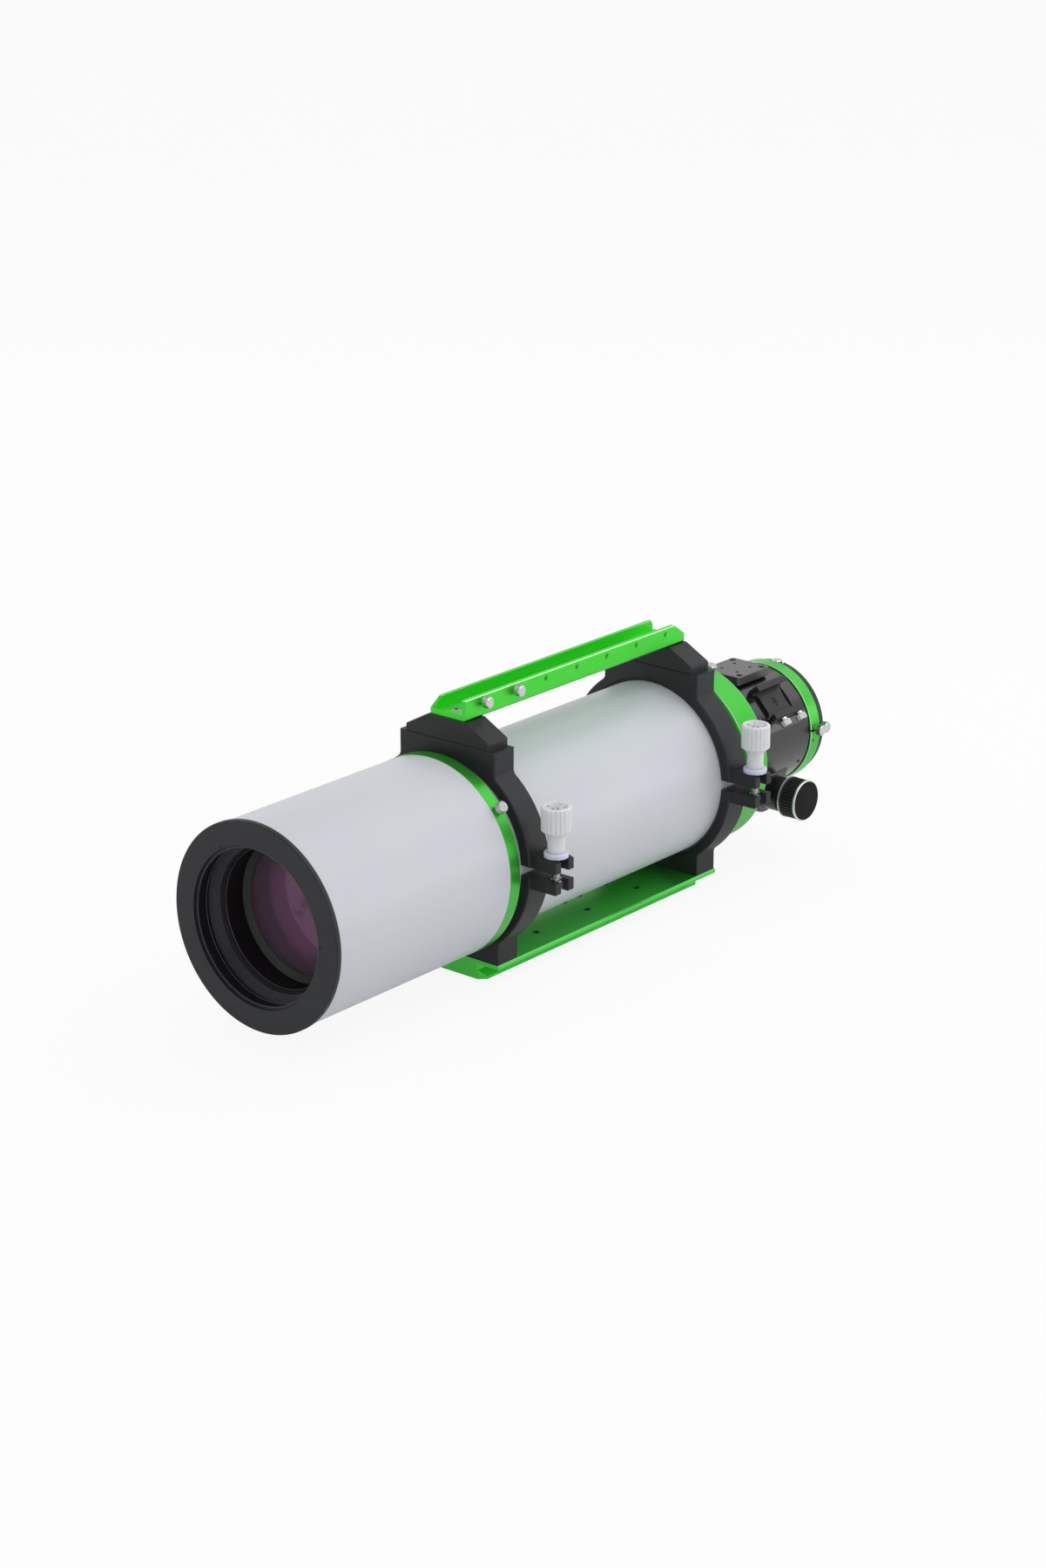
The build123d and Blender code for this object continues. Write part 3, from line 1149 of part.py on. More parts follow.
def nodes():
    shapes = {
        "main_tube": main_tube(),
        "baffle_rings": baffle_rings(),
        "objective_cell": objective_cell(),
        "cell_front_ring": cell_front_ring(),
        "retaining_ring": retaining_ring(),
        "lens_spacers": lens_spacers(),
        "shield_guide_felts": shield_guide_felts(),
        "dew_shield_tube": dew_shield_tube(),
        "dew_shield_lip": dew_shield_lip(),
        "dew_shield_band": dew_shield_band(),
        "shield_lock_screw": shield_lock_screw(),
        "ring_felts": ring_felts(),
        "ring_pins": ring_pins(),
        "dovetail_plate": dovetail_plate(),
        "ring_screws": ring_screws(),
        "top_bar": top_bar(),
        "bar_thumbscrew_front": bar_thumbscrew(0),
        "bar_thumbscrew_rear": bar_thumbscrew(1),
        "tail_ring": tail_ring(),
        "rotation_lock_screw": rotation_lock_screw(),
        "rotation_collar": rotation_collar(),
        "focuser_adapter": focuser_adapter(),
        "focuser_body": focuser_body(),
        "accessory_plate": accessory_plate(),
        "finder_shoe": finder_shoe(),
        "finder_screw_front": finder_screw(0),
        "finder_screw_rear": finder_screw(1),
        "drawtube_bushes": drawtube_bushes(),
        "pinion_housing": pinion_housing(),
        "focuser_screws": focuser_screws(),
        "pinion_bushes": pinion_bushes(),
        "focus_lock_screw": focus_lock_screw(),
        "drawtube": drawtube(),
        "rack": rack(),
        "rotator_ring": rotator_ring(),
        "end_ring": end_ring(),
        "compression_ring": compression_ring(),
        "pinion_shaft": pinion_shaft(),
        "right_knob_core": knob_core(1, *RIGHT_KNOB),
        "right_knob_grip": knob_grip(1, *RIGHT_KNOB),
        "right_knob_cap": knob_cap(),
        "left_knob_core": knob_core(-1, *LEFT_KNOB),
        "left_knob_grip": knob_grip(-1, *LEFT_KNOB),
        "fine_knob": fine_knob(),
    }
    for name in END_SCREWS:
        shapes[f"end_screw_{name}"] = end_screw(name)
    for name, measures in LENSES.items():
        shapes[name] = lens(*measures)
    for name, y in (("front", -RING_OFFSET), ("rear", RING_OFFSET)):
        shapes[f"{name}_ring_base"] = ring_base(y)
        shapes[f"{name}_ring_lid"] = ring_lid(y)
        shapes[f"{name}_swing_bolt"] = swing_bolt(y)
        shapes[f"{name}_clamp_washer"] = clamp_washer(y)
        shapes[f"{name}_clamp_knob"] = clamp_knob(y)
    return shapes


os.makedirs("parts", exist_ok=True)
for name, shape in nodes().items():
    export_step(shape, f"parts/{name}.step")
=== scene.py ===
import json
import math

import bmesh
import bpy
from mathutils import Matrix, Vector


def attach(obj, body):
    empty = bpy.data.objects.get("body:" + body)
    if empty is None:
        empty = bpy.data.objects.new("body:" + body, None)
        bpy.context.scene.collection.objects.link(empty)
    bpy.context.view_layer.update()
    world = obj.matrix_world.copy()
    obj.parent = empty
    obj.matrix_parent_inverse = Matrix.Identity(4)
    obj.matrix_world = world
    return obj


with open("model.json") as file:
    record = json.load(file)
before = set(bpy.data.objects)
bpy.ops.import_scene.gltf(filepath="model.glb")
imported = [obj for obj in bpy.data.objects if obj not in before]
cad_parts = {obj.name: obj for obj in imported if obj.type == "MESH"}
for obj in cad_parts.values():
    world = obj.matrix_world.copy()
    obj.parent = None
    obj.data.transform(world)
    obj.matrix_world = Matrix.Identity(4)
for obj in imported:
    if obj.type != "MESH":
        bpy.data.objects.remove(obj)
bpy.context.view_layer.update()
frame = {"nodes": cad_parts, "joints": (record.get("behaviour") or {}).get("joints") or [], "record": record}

# Sizes are in metres. The optical axis runs along Y at AXIS_HEIGHT, with the lens mouth at -Y,
# and the clamp knobs stand on the +X side.
MM = 0.001
AXIS_HEIGHT = 0.105

# Camera, from the photograph
CAMERA_PLACE = Vector((1.7362, -2.1233, 1.0893))
CAMERA_TARGET = Vector((0.0495, -0.1089, 0.1630))
CAMERA_LENS = 79.37
CAMERA_SENSOR = 36.0

# Chrome thumbscrews, each a body of its own. Its seat and outward axis are those of its turning joint.
SCREW_BODIES = (
    "shield_lock", "bar_screw_front", "bar_screw_rear", "rotation_lock", "finder_screw_a", "finder_screw_b",
    "focus_lock", "eyepiece_screw_side", "eyepiece_screw_rear", "eyepiece_screw_top",
)
HEAD_RADIUS = 4.6 * MM
HEAD_START = 2.8 * MM
HEAD_LENGTH = 4.6 * MM
HEAD_RIDGES = 36
RIDGE_RADIUS = 0.28 * MM

# Swing bolts and clamp knobs, a pair at each mounting ring
RING_PLACES = {"front": -133.2 * MM, "rear": 133.2 * MM}
PIVOT_X = 104.2 * MM
PIVOT_HEIGHT = AXIS_HEIGHT - 8.2 * MM
BOLT_RADIUS = 3.0 * MM
BOLT_THREAD_PITCH = 1.0 * MM
BOLT_THREAD_SECTION = 0.42 * BOLT_THREAD_PITCH
BOLT_THREAD_START = 5.6 * MM
BOLT_THREAD_LENGTH = 7.4 * MM
KNOB_TOP = AXIS_HEIGHT + 58.7 * MM
DISH_DEPTH = 2.5 * MM
DISH_RADIUS = 8.5 * MM
DISH_RIBS = 6
DISH_RIB_WIDTH = 1.1 * MM
DISH_RIB_HEIGHT = 1.7 * MM
DISH_HUB_RADIUS = 2.6 * MM
HUB_TO_RIB_HEIGHT = 1.2

# Threaded holes of the dovetail plate and of the top bar
PLATE_HEIGHT = 17.2 * MM
PLATE_HOLE_RADIUS = 3.2 * MM
PLATE_HOLE_X = 30.0 * MM
PLATE_HOLE_Y = -1.4 * MM
PLATE_HOLE_PITCH = 67.4 * MM
MIDDLE_HOLE_X = 4.7 * MM
MIDDLE_HOLES_Y = (-1.4 * MM, 19.2 * MM, 54.9 * MM)
PLATE_SLEEVE_LENGTH = 14.0 * MM
PLATE_SLEEVE_WALL = 0.35 * MM
PLATE_SLEEVE_SETBACK = 0.3 * MM
BAR_HALF = 18.6 * MM
BAR_HOLE_RADIUS = 2.2 * MM
BAR_HOLE_HEIGHT = AXIS_HEIGHT + 125.0 * MM
BAR_HOLE_PITCH = 39.8 * MM
BAR_HOLE_START = -42.4 * MM
BAR_HOLE_COUNT = 5
BAR_SLEEVE_LENGTH = 3.2 * MM
BAR_SLEEVE_WALL = 0.5 * MM
BAR_SLEEVE_SETBACK = 0.15 * MM
SLEEVE_PITCH = 0.8 * MM

# Thin beads of lighter metal at corners of the lens mouth, as painted highlights on them: body, radius and
# place along the axis of each
MOUTH_BEADS = (
    ("dew_shield", 63.9 * MM, -367.2 * MM),
    ("dew_shield", 64.3 * MM, -357.4 * MM),
    ("tube", 57.9 * MM, -341.9 * MM),
)
BEAD_RADIUS = 0.25 * MM

# Stepped liner behind the lip: radius and place along the axis of each corner of its section
LINER_SECTION = (
    (66.0 * MM, -365.0 * MM), (64.3 * MM, -365.0 * MM), (64.3 * MM, -357.4 * MM),
    (65.3 * MM, -357.4 * MM), (65.3 * MM, -354.2 * MM), (66.0 * MM, -354.2 * MM),
)

# Small set screws: three on the lip's face, one on the rotator ring and one on the focuser body.
# The last two have their body, their own radius, and a seat: radius, place along the axis and degrees.
SET_SCREW_DEPTH = 0.9 * MM
SOCKET_SHARE = 0.55
SOCKET_SIDES = 6
LIP_FRONT = -369.5 * MM
LIP_SCREW_RADIUS = 0.9 * MM
LIP_SCREW_CIRCLE = 67.8 * MM
LIP_SCREW_DEGREES = (1, 121, 241)
SIDE_SCREWS = {
    "rotator_set_screw": ("drawtube", 0.9 * MM, (55.5 * MM, 288.6 * MM, -7)),
    "body_set_screw": ("focuser", 1.5 * MM, (54.0 * MM, 276.2 * MM, -27)),
}

# Fineness of the new meshes: steps round a circle or a turn, and sides of a thin section
RIDGE_SIDES = 6
THREAD_STEPS = 20
THREAD_SIDES = 4
HUB_STEPS = 32
SLEEVE_STEPS = 32
BEAD_STEPS = 180
BEAD_SIDES = 8
LINER_STEPS = 180
SET_SCREW_STEPS = 24

# Edges of the green pieces that carry a painted highlight, each a window along one axis or two
RING_HIGHLIGHT_EDGES = (
    {"Y": (-154.9 * MM, -154.12 * MM)},
    {"Y": (156.33 * MM, 157.1 * MM)},
    {"Y": (182.7 * MM, 183.3 * MM)},
    {"Y": (285.02 * MM, 285.7 * MM)},
    {"Y": (297.8 * MM, 298.48 * MM)},
)
BAR_HIGHLIGHT_EDGES = (
    {"X": (14.0 * MM, 19.0 * MM), "Z": (AXIS_HEIGHT + 129.4 * MM, AXIS_HEIGHT + 130.17 * MM)},
    {"X": (-19.0 * MM, -14.0 * MM), "Z": (AXIS_HEIGHT + 124.9 * MM, AXIS_HEIGHT + 125.67 * MM)},
)
PLATE_HIGHLIGHT_EDGES = (
    {"X": (54.0 * MM, 54.68 * MM), "Z": (16.5 * MM, 17.18 * MM)},
)

# Radii between the white outside and the black inside of the two tubes
TUBE_BORE = 75.6 * MM
SHIELD_BORE = 83.4 * MM

# Colours of the painted highlights on the green edges, and the black inside of the two tubes
PAINTED_HIGHLIGHT_MINT = (0.42, 0.80, 0.40)
PAINTED_HIGHLIGHT_GREEN = (0.105, 0.38, 0.095)
BORE_BLACK = (0.007, 0.007, 0.0075)
BORE_ROUGHNESS = 0.85

# Machining lines, as the fineness of their grain along each axis
TURNED_LINES = (40, 2600, 40)
DRAWN_LINES = (2200, 14, 2200)
LATHE_LINES = (300, 300, 2400)

# Part of a grain over which its colour runs from dark to light, and samples of a rounded edge
GRAIN_RANGE = (0.3, 0.7)
ROUNDING_SAMPLES = 4

# Floor and surroundings. The ceiling greys between two heights of a direction, where 1 is straight up.
WHITE = (1, 1, 1, 1)
FLOOR_SIZE = 30.0
FLOOR_GAP = 0.2 * MM
FLOOR_GREY = (0.80, 0.80, 0.80, 1)
SHADOW_SHARE = 0.10
MIRRORED_SHADOW_SHARE = 0.70
WORLD_LIGHT = 0.70
CEILING_LIGHT = 0.45
CEILING_FALL = (0.25, 0.85)

# Softboxes: place, width and height, and watts of each
LIGHT_TARGET = (0, -0.05, 0.12)
SOFTBOXES = {
    "key_softbox": ((1.5, 0.4, 2.45), (2.4, 2.4), 25.5),
    "front_softbox": ((-0.9, -2.4, 1.8), (1.8, 1.8), 3),
    "side_softbox": ((1.7, 1.4, 0.45), (1.2, 0.6), 4),
    "back_softbox": ((0.3, 2.3, 2.05), (2.4, 1.6), 8),
    "far_softbox": ((-2.2, 0.1, 1.3), (1.6, 1.2), 7),
}


def shader(name):
    """New material with its principled shader, ready to be given a finish."""
    material = bpy.data.materials.new(name)
    material.use_nodes = True
    return material, material.node_tree.nodes["Principled BSDF"]


def set_sockets(node, values):
    """Set inputs of a shader node to plain values."""
    for socket, value in values.items():
        node.inputs[socket].default_value = value


def add_node(owner, kind, values=None, **settings):
    """New shader node in a material or in the world."""
    node = owner.node_tree.nodes.new(kind)
    for setting, value in settings.items():
        setattr(node, setting, value)
    set_sockets(node, values or {})
    return node


def link(owner, source, target):
    """Join an output of a shader node to an input."""
    owner.node_tree.links.new(source, target)


def object_grain(material, scale, detail=3.0, stretch=(1, 1, 1)):
    """Noise on the piece's own coordinates, which may be stretched along each axis."""
    place = add_node(material, "ShaderNodeTexCoord")
    mapping = add_node(material, "ShaderNodeMapping", {"Scale": stretch})
    noise = add_node(material, "ShaderNodeTexNoise", {"Scale": scale, "Detail": detail})
    link(material, place.outputs["Object"], mapping.inputs["Vector"])
    link(material, mapping.outputs["Vector"], noise.inputs["Vector"])
    return noise.outputs["Fac"]


def bump(material, surface, grain, strength, depth, rounding=0.0):
    """Fine relief that follows a grain, with sharp edges rounded by a small radius."""
    relief = add_node(material, "ShaderNodeBump", {"Strength": strength, "Distance": depth})
    if rounding:
        rounded = add_node(material, "ShaderNodeBevel", {"Radius": rounding}, samples=ROUNDING_SAMPLES)
        link(material, rounded.outputs["Normal"], relief.inputs["Normal"])
    link(material, grain, relief.inputs["Height"])
    link(material, relief.outputs["Normal"], surface.inputs["Normal"])


def ramp(material, grain, dark, light):
    """Colour that runs from dark to light with a grain."""
    node = add_node(material, "ShaderNodeValToRGB")
    for element, position, colour in zip(node.color_ramp.elements, GRAIN_RANGE, (dark, light)):
        element.position = position
        element.color = (*colour, 1)
    link(material, grain, node.inputs["Fac"])
    return node.outputs["Color"]


def spread(material, factor, low, high):
    """Number that runs from low to high with a factor."""
    node = add_node(material, "ShaderNodeMapRange", {"To Min": low, "To Max": high})
    link(material, factor, node.inputs["Value"])
    return node.outputs["Result"]


def colour_by(material, surface, grain, dark, light):
    """Give a surface a colour that runs from dark to light with a grain."""
    link(material, ramp(material, grain, dark, light), surface.inputs["Base Color"])


def roughen_by(material, surface, grain, low, high):
    """Give a surface a roughness that runs from low to high with a grain."""
    link(material, spread(material, grain, low, high), surface.inputs["Roughness"])


def combined(owner, operation, *factors):
    """Result of one operation on all the factors, taken in turn."""
    result = factors[0]
    for factor in factors[1:]:
        node = add_node(owner, "ShaderNodeMath", operation=operation)
        link(owner, result, node.inputs[0])
        link(owner, factor, node.inputs[1])
        result = node.outputs[0]
    return result


def between(material, axis, low, high):
    """1 where the piece's own coordinate along an axis lies between two places, else 0."""
    place = add_node(material, "ShaderNodeTexCoord")
    split = add_node(material, "ShaderNodeSeparateXYZ")
    window = add_node(
        material, "ShaderNodeMath", {1: (low + high) / 2, 2: (high - low) / 2}, operation="COMPARE"
    )
    link(material, place.outputs["Object"], split.inputs[0])
    link(material, split.outputs[axis], window.inputs[0])
    return window.outputs[0]


def highlight_edge_mask(material, highlight_edges):
    """1 on the edges that carry a painted highlight, else 0."""
    masks = []
    for edge in highlight_edges:
        windows = [between(material, axis, *window) for axis, window in edge.items()]
        masks.append(combined(material, "MULTIPLY", *windows))
    return combined(material, "MAXIMUM", *masks)


def within_bore(material, radius):
    """1 nearer to the optical axis than a radius, else 0."""
    place = add_node(material, "ShaderNodeTexCoord")
    across = add_node(
        material, "ShaderNodeVectorMath", {1: (1, 0, 1), 2: (0, 0, -AXIS_HEIGHT)}, operation="MULTIPLY_ADD"
    )
    reach = add_node(material, "ShaderNodeVectorMath", operation="LENGTH")
    inside = add_node(material, "ShaderNodeMath", {1: radius}, operation="LESS_THAN")
    link(material, place.outputs["Object"], across.inputs[0])
    link(material, across.outputs["Vector"], reach.inputs[0])
    link(material, reach.outputs["Value"], inside.inputs[0])
    return inside.outputs[0]


def mixed_colour(material, mask, first, second):
    """First colour, or the second one where the mask is 1."""
    node = add_node(material, "ShaderNodeMix", data_type="RGBA")
    colours = [socket for socket in node.inputs if socket.type == "RGBA"]
    colours[1].default_value = (*second, 1)
    link(material, mask, node.inputs["Factor"])
    link(material, first, colours[0])
    return [socket for socket in node.outputs if socket.type == "RGBA"][0]


def tube_enamel(name, bore):
    """Pale grey-white satin paint with a faint orange-peel surface, and flat black in the bore."""
    material, paint = shader(name)
    tone = object_grain(material, scale=9.0)
    peel = object_grain(material, scale=420.0)
    inside = within_bore(material, bore)
    enamel = ramp(material, tone, (0.545, 0.568, 0.612), (0.570, 0.592, 0.632))
    satin = spread(material, peel, 0.36, 0.46)
    flat = spread(material, inside, 0.0, BORE_ROUGHNESS)
    link(material, mixed_colour(material, inside, enamel, BORE_BLACK), paint.inputs["Base Color"])
    link(material, combined(material, "MAXIMUM", satin, flat), paint.inputs["Roughness"])
    bump(material, paint, peel, strength=0.06, depth=0.2 * MM, rounding=0.4 * MM)
    return material


def powder_coat():
    """Matte charcoal coating with a fine pebbled grain."""
    material, paint = shader("powder_coat")
    set_sockets(paint, {"Specular IOR Level": 0.36})
    tone = object_grain(material, scale=60.0)
    pebble = object_grain(material, scale=1900.0, detail=2.0)
    colour_by(material, paint, tone, (0.0105, 0.0115, 0.0136), (0.0145, 0.0157, 0.0185))
    roughen_by(material, paint, pebble, 0.39, 0.57)
    bump(material, paint, pebble, strength=0.22, depth=0.3 * MM, rounding=0.6 * MM)
    return material


def green_anodising(name, lines, dark, light, highlight_edges, highlight_colour, veil, rough=(0.30, 0.44), relief=0.06):
    """Bright green dyed aluminium with fine machining lines, and painted highlights along some edges in a
    colour of their own.
    """
    material, metal = shader(name)
    set_sockets(metal, {"Metallic": 0.80, "Coat Weight": veil, "Coat Roughness": 0.30})
    grain = object_grain(material, scale=1.0, detail=4.0, stretch=lines)
    dye = ramp(material, grain, dark, light)
    # Painted highlight: a lighter colour along the chosen edges
    colour = mixed_colour(material, highlight_edge_mask(material, highlight_edges), dye, highlight_colour)
    link(material, colour, metal.inputs["Base Color"])
    roughen_by(material, metal, grain, *rough)
    bump(material, metal, grain, relief, depth=0.1 * MM, rounding=0.4 * MM)
    return material


def gloss_black():
    """Gloss black paint of the focuser body, its adapter and the pinion housing."""
    material, paint = shader("gloss_black")
    set_sockets(paint, {
        "Base Color": (0.009, 0.009, 0.010, 1), "Coat Weight": 0.3, "Coat Roughness": 0.06,
    })
    roughen_by(material, paint, object_grain(material, scale=35.0), 0.16, 0.28)
    peel = object_grain(material, scale=500.0)
    bump(material, paint, peel, strength=0.03, depth=0.2 * MM, rounding=0.5 * MM)
    return material


def blasted_aluminium(name, dark, light, metallic, rough):
    """Anodised aluminium with a bead-blasted grain."""
    material, metal = shader(name)
    set_sockets(metal, {"Metallic": metallic})
    blast = object_grain(material, scale=2200.0, detail=2.0)
    colour_by(material, metal, blast, dark, light)
    roughen_by(material, metal, blast, rough - 0.07, rough + 0.09)
    bump(material, metal, blast, strength=0.12, depth=0.2 * MM, rounding=0.4 * MM)
    return material


def flat_black():
    """Flat black paint that takes up stray light, as inside the tube."""
    material, paint = shader("flat_black")
    set_sockets(paint, {"Roughness": 0.85, "Specular IOR Level": 0.25})
    soot = object_grain(material, scale=1500.0)
    colour_by(material, paint, soot, (0.005, 0.005, 0.005), (0.010, 0.010, 0.011))
    bump(material, paint, soot, strength=0.2, depth=0.3 * MM)
    return material


def polished_chrome():
    """Bright plating of the thumbscrews, with a slight haze."""
    material, metal = shader("polished_chrome")
    set_sockets(metal, {"Metallic": 1.0})
    haze = object_grain(material, scale=900.0)
    colour_by(material, metal, haze, (0.56, 0.57, 0.58), (0.70, 0.70, 0.71))
    roughen_by(material, metal, haze, 0.08, 0.18)
    return material


def plain_metal(name, dark, light, rough, metallic=1.0):
    """Turned or drawn metal with fine lines."""
    material, metal = shader(name)
    set_sockets(metal, {"Metallic": metallic})
    grain = object_grain(material, scale=1.0, stretch=LATHE_LINES)
    colour_by(material, metal, grain, dark, light)
    roughen_by(material, metal, grain, rough - 0.06, rough + 0.08)
    bump(material, metal, grain, strength=0.08, depth=0.1 * MM)
    return material


def milky_plastic(name, colour):
    """Cloudy white moulded plastic that lets a little light through."""
    material, plastic = shader(name)
    set_sockets(plastic, {
        "Subsurface Weight": 0.6, "Subsurface Radius": (4 * MM, 4 * MM, 4 * MM), "Subsurface Scale": 1.0,
        "Roughness": 0.36, "Coat Weight": 0.1,
    })
    cloud = object_grain(material, scale=140.0)
    darker = tuple(0.94 * channel for channel in colour)
    colour_by(material, plastic, cloud, darker, colour)
    bump(material, plastic, object_grain(material, scale=800.0), strength=0.04, depth=0.2 * MM)
    return material


def grip_rubber():
    """Ribbed rubber round the focus knobs."""
    material, rubber = shader("grip_rubber")
    fine = object_grain(material, scale=1700.0)
    colour_by(material, rubber, fine, (0.011, 0.011, 0.011), (0.021, 0.021, 0.022))
    roughen_by(material, rubber, fine, 0.42, 0.62)
    bump(material, rubber, fine, strength=0.2, depth=0.2 * MM)
    return material


def black_felt():
    """Felt between the rings and the tube, and under the dew shield."""
    material, felt = shader("black_felt")
    set_sockets(felt, {"Roughness": 0.95, "Sheen Weight": 0.3, "Sheen Roughness": 0.5})
    fibre = object_grain(material, scale=2600.0, detail=6.0)
    colour_by(material, felt, fibre, (0.012, 0.012, 0.012), (0.035, 0.035, 0.036))
    bump(material, felt, fibre, strength=0.6, depth=0.4 * MM)
    return material


def coated_glass():
    """Lens glass whose coating reflects wine red."""
    material, glass = shader("coated_glass")
    set_sockets(glass, {
        "Base Color": (0.74, 0.54, 0.70, 1), "Transmission Weight": 0.92, "IOR": 1.52, "Roughness": 0.02,
        "Specular Tint": (0.56, 0.14, 0.46, 1),
    })
    return material


def bush_plastic():
    """Cream plastic of the drawtube's bushes."""
    material, plastic = shader("bush_plastic")
    set_sockets(plastic, {"Roughness": 0.5})
    cloud = object_grain(material, scale=120.0)
    colour_by(material, plastic, cloud, (0.70, 0.69, 0.64), (0.78, 0.77, 0.73))
    return material


# Finish of each material slot
FINISHES = {
    "white_paint": tube_enamel("tube_enamel", TUBE_BORE),
    "charcoal": powder_coat(),
    "green_anodised": green_anodising(
        "green_turned", TURNED_LINES, (0.042, 0.47, 0.034), (0.058, 0.55, 0.047), RING_HIGHLIGHT_EDGES, PAINTED_HIGHLIGHT_MINT,
        veil=0.20,
    ),
    "black_gloss": gloss_black(),
    "black_anodised": blasted_aluminium(
        "black_anodising", (0.018, 0.018, 0.020), (0.032, 0.032, 0.035), metallic=0.35, rough=0.42
    ),
    "flat_black": flat_black(),
    "chrome": polished_chrome(),
    "steel": plain_metal("plain_steel", (0.40, 0.40, 0.41), (0.58, 0.58, 0.59), rough=0.30),
    "knob_white": milky_plastic("knob_plastic", (0.69, 0.70, 0.72)),
    "washer_white": milky_plastic("washer_plastic", (0.59, 0.62, 0.76)),
    "rubber_grip": grip_rubber(),
    "silver_trim": plain_metal(
        "turned_silver", (0.72, 0.72, 0.72), (0.84, 0.84, 0.84), rough=0.34, metallic=0.72
    ),
    "glass": coated_glass(),
    "felt": black_felt(),
    "brass": plain_metal("turned_brass", (0.50, 0.36, 0.13), (0.68, 0.50, 0.20), rough=0.26),
    "bush_plastic": bush_plastic(),
}

# Finishes of single pieces
BAR_GREEN = green_anodising(
    "green_bar", DRAWN_LINES, (0.050, 0.65, 0.033), (0.071, 0.73, 0.048), BAR_HIGHLIGHT_EDGES, PAINTED_HIGHLIGHT_MINT,
    veil=0.15,
)
PLATE_GREEN = green_anodising(
    "green_plate", DRAWN_LINES, (0.056, 0.66, 0.056), (0.076, 0.75, 0.072), PLATE_HIGHLIGHT_EDGES, PAINTED_HIGHLIGHT_GREEN,
    veil=0.65, rough=(0.23, 0.28), relief=0.012,
)
SATIN_BLACK = blasted_aluminium(
    "satin_black", (0.010, 0.010, 0.011), (0.015, 0.015, 0.016), metallic=0.35, rough=0.38
)
# Lighter metal of the mouth beads, a painted highlight on corners that are black
MOUTH_HIGHLIGHT_METAL = blasted_aluminium(
    "painted_highlight_metal", (0.13, 0.13, 0.14), (0.18, 0.18, 0.19), metallic=1.0, rough=0.26
)

# Nodes whose finish differs from the one of their slot
NODE_FINISHES = {
    "dew_shield_tube": tube_enamel("shield_enamel", SHIELD_BORE),
    "dovetail_plate": PLATE_GREEN,
    "top_bar": BAR_GREEN,
    "cell_front_ring": blasted_aluminium(
        "ribbed_black", (0.090, 0.090, 0.099), (0.112, 0.112, 0.124), metallic=0.70, rough=0.28
    ),
    "accessory_plate": blasted_aluminium(
        "worn_black", (0.090, 0.090, 0.094), (0.12, 0.12, 0.125), metallic=0.45, rough=0.33
    ),
    "right_knob_cap": FINISHES["flat_black"],
    "retaining_ring": SATIN_BLACK,
}


def dress_nodes():
    """Give every node of the frame the finish of its slot, or its own where it has one."""
    for part in frame["record"]["subparts"]:
        node = frame["nodes"][part["node"]]
        node.data.materials.clear()
        node.data.materials.append(NODE_FINISHES.get(part["node"], FINISHES[part["material_slot"]]))


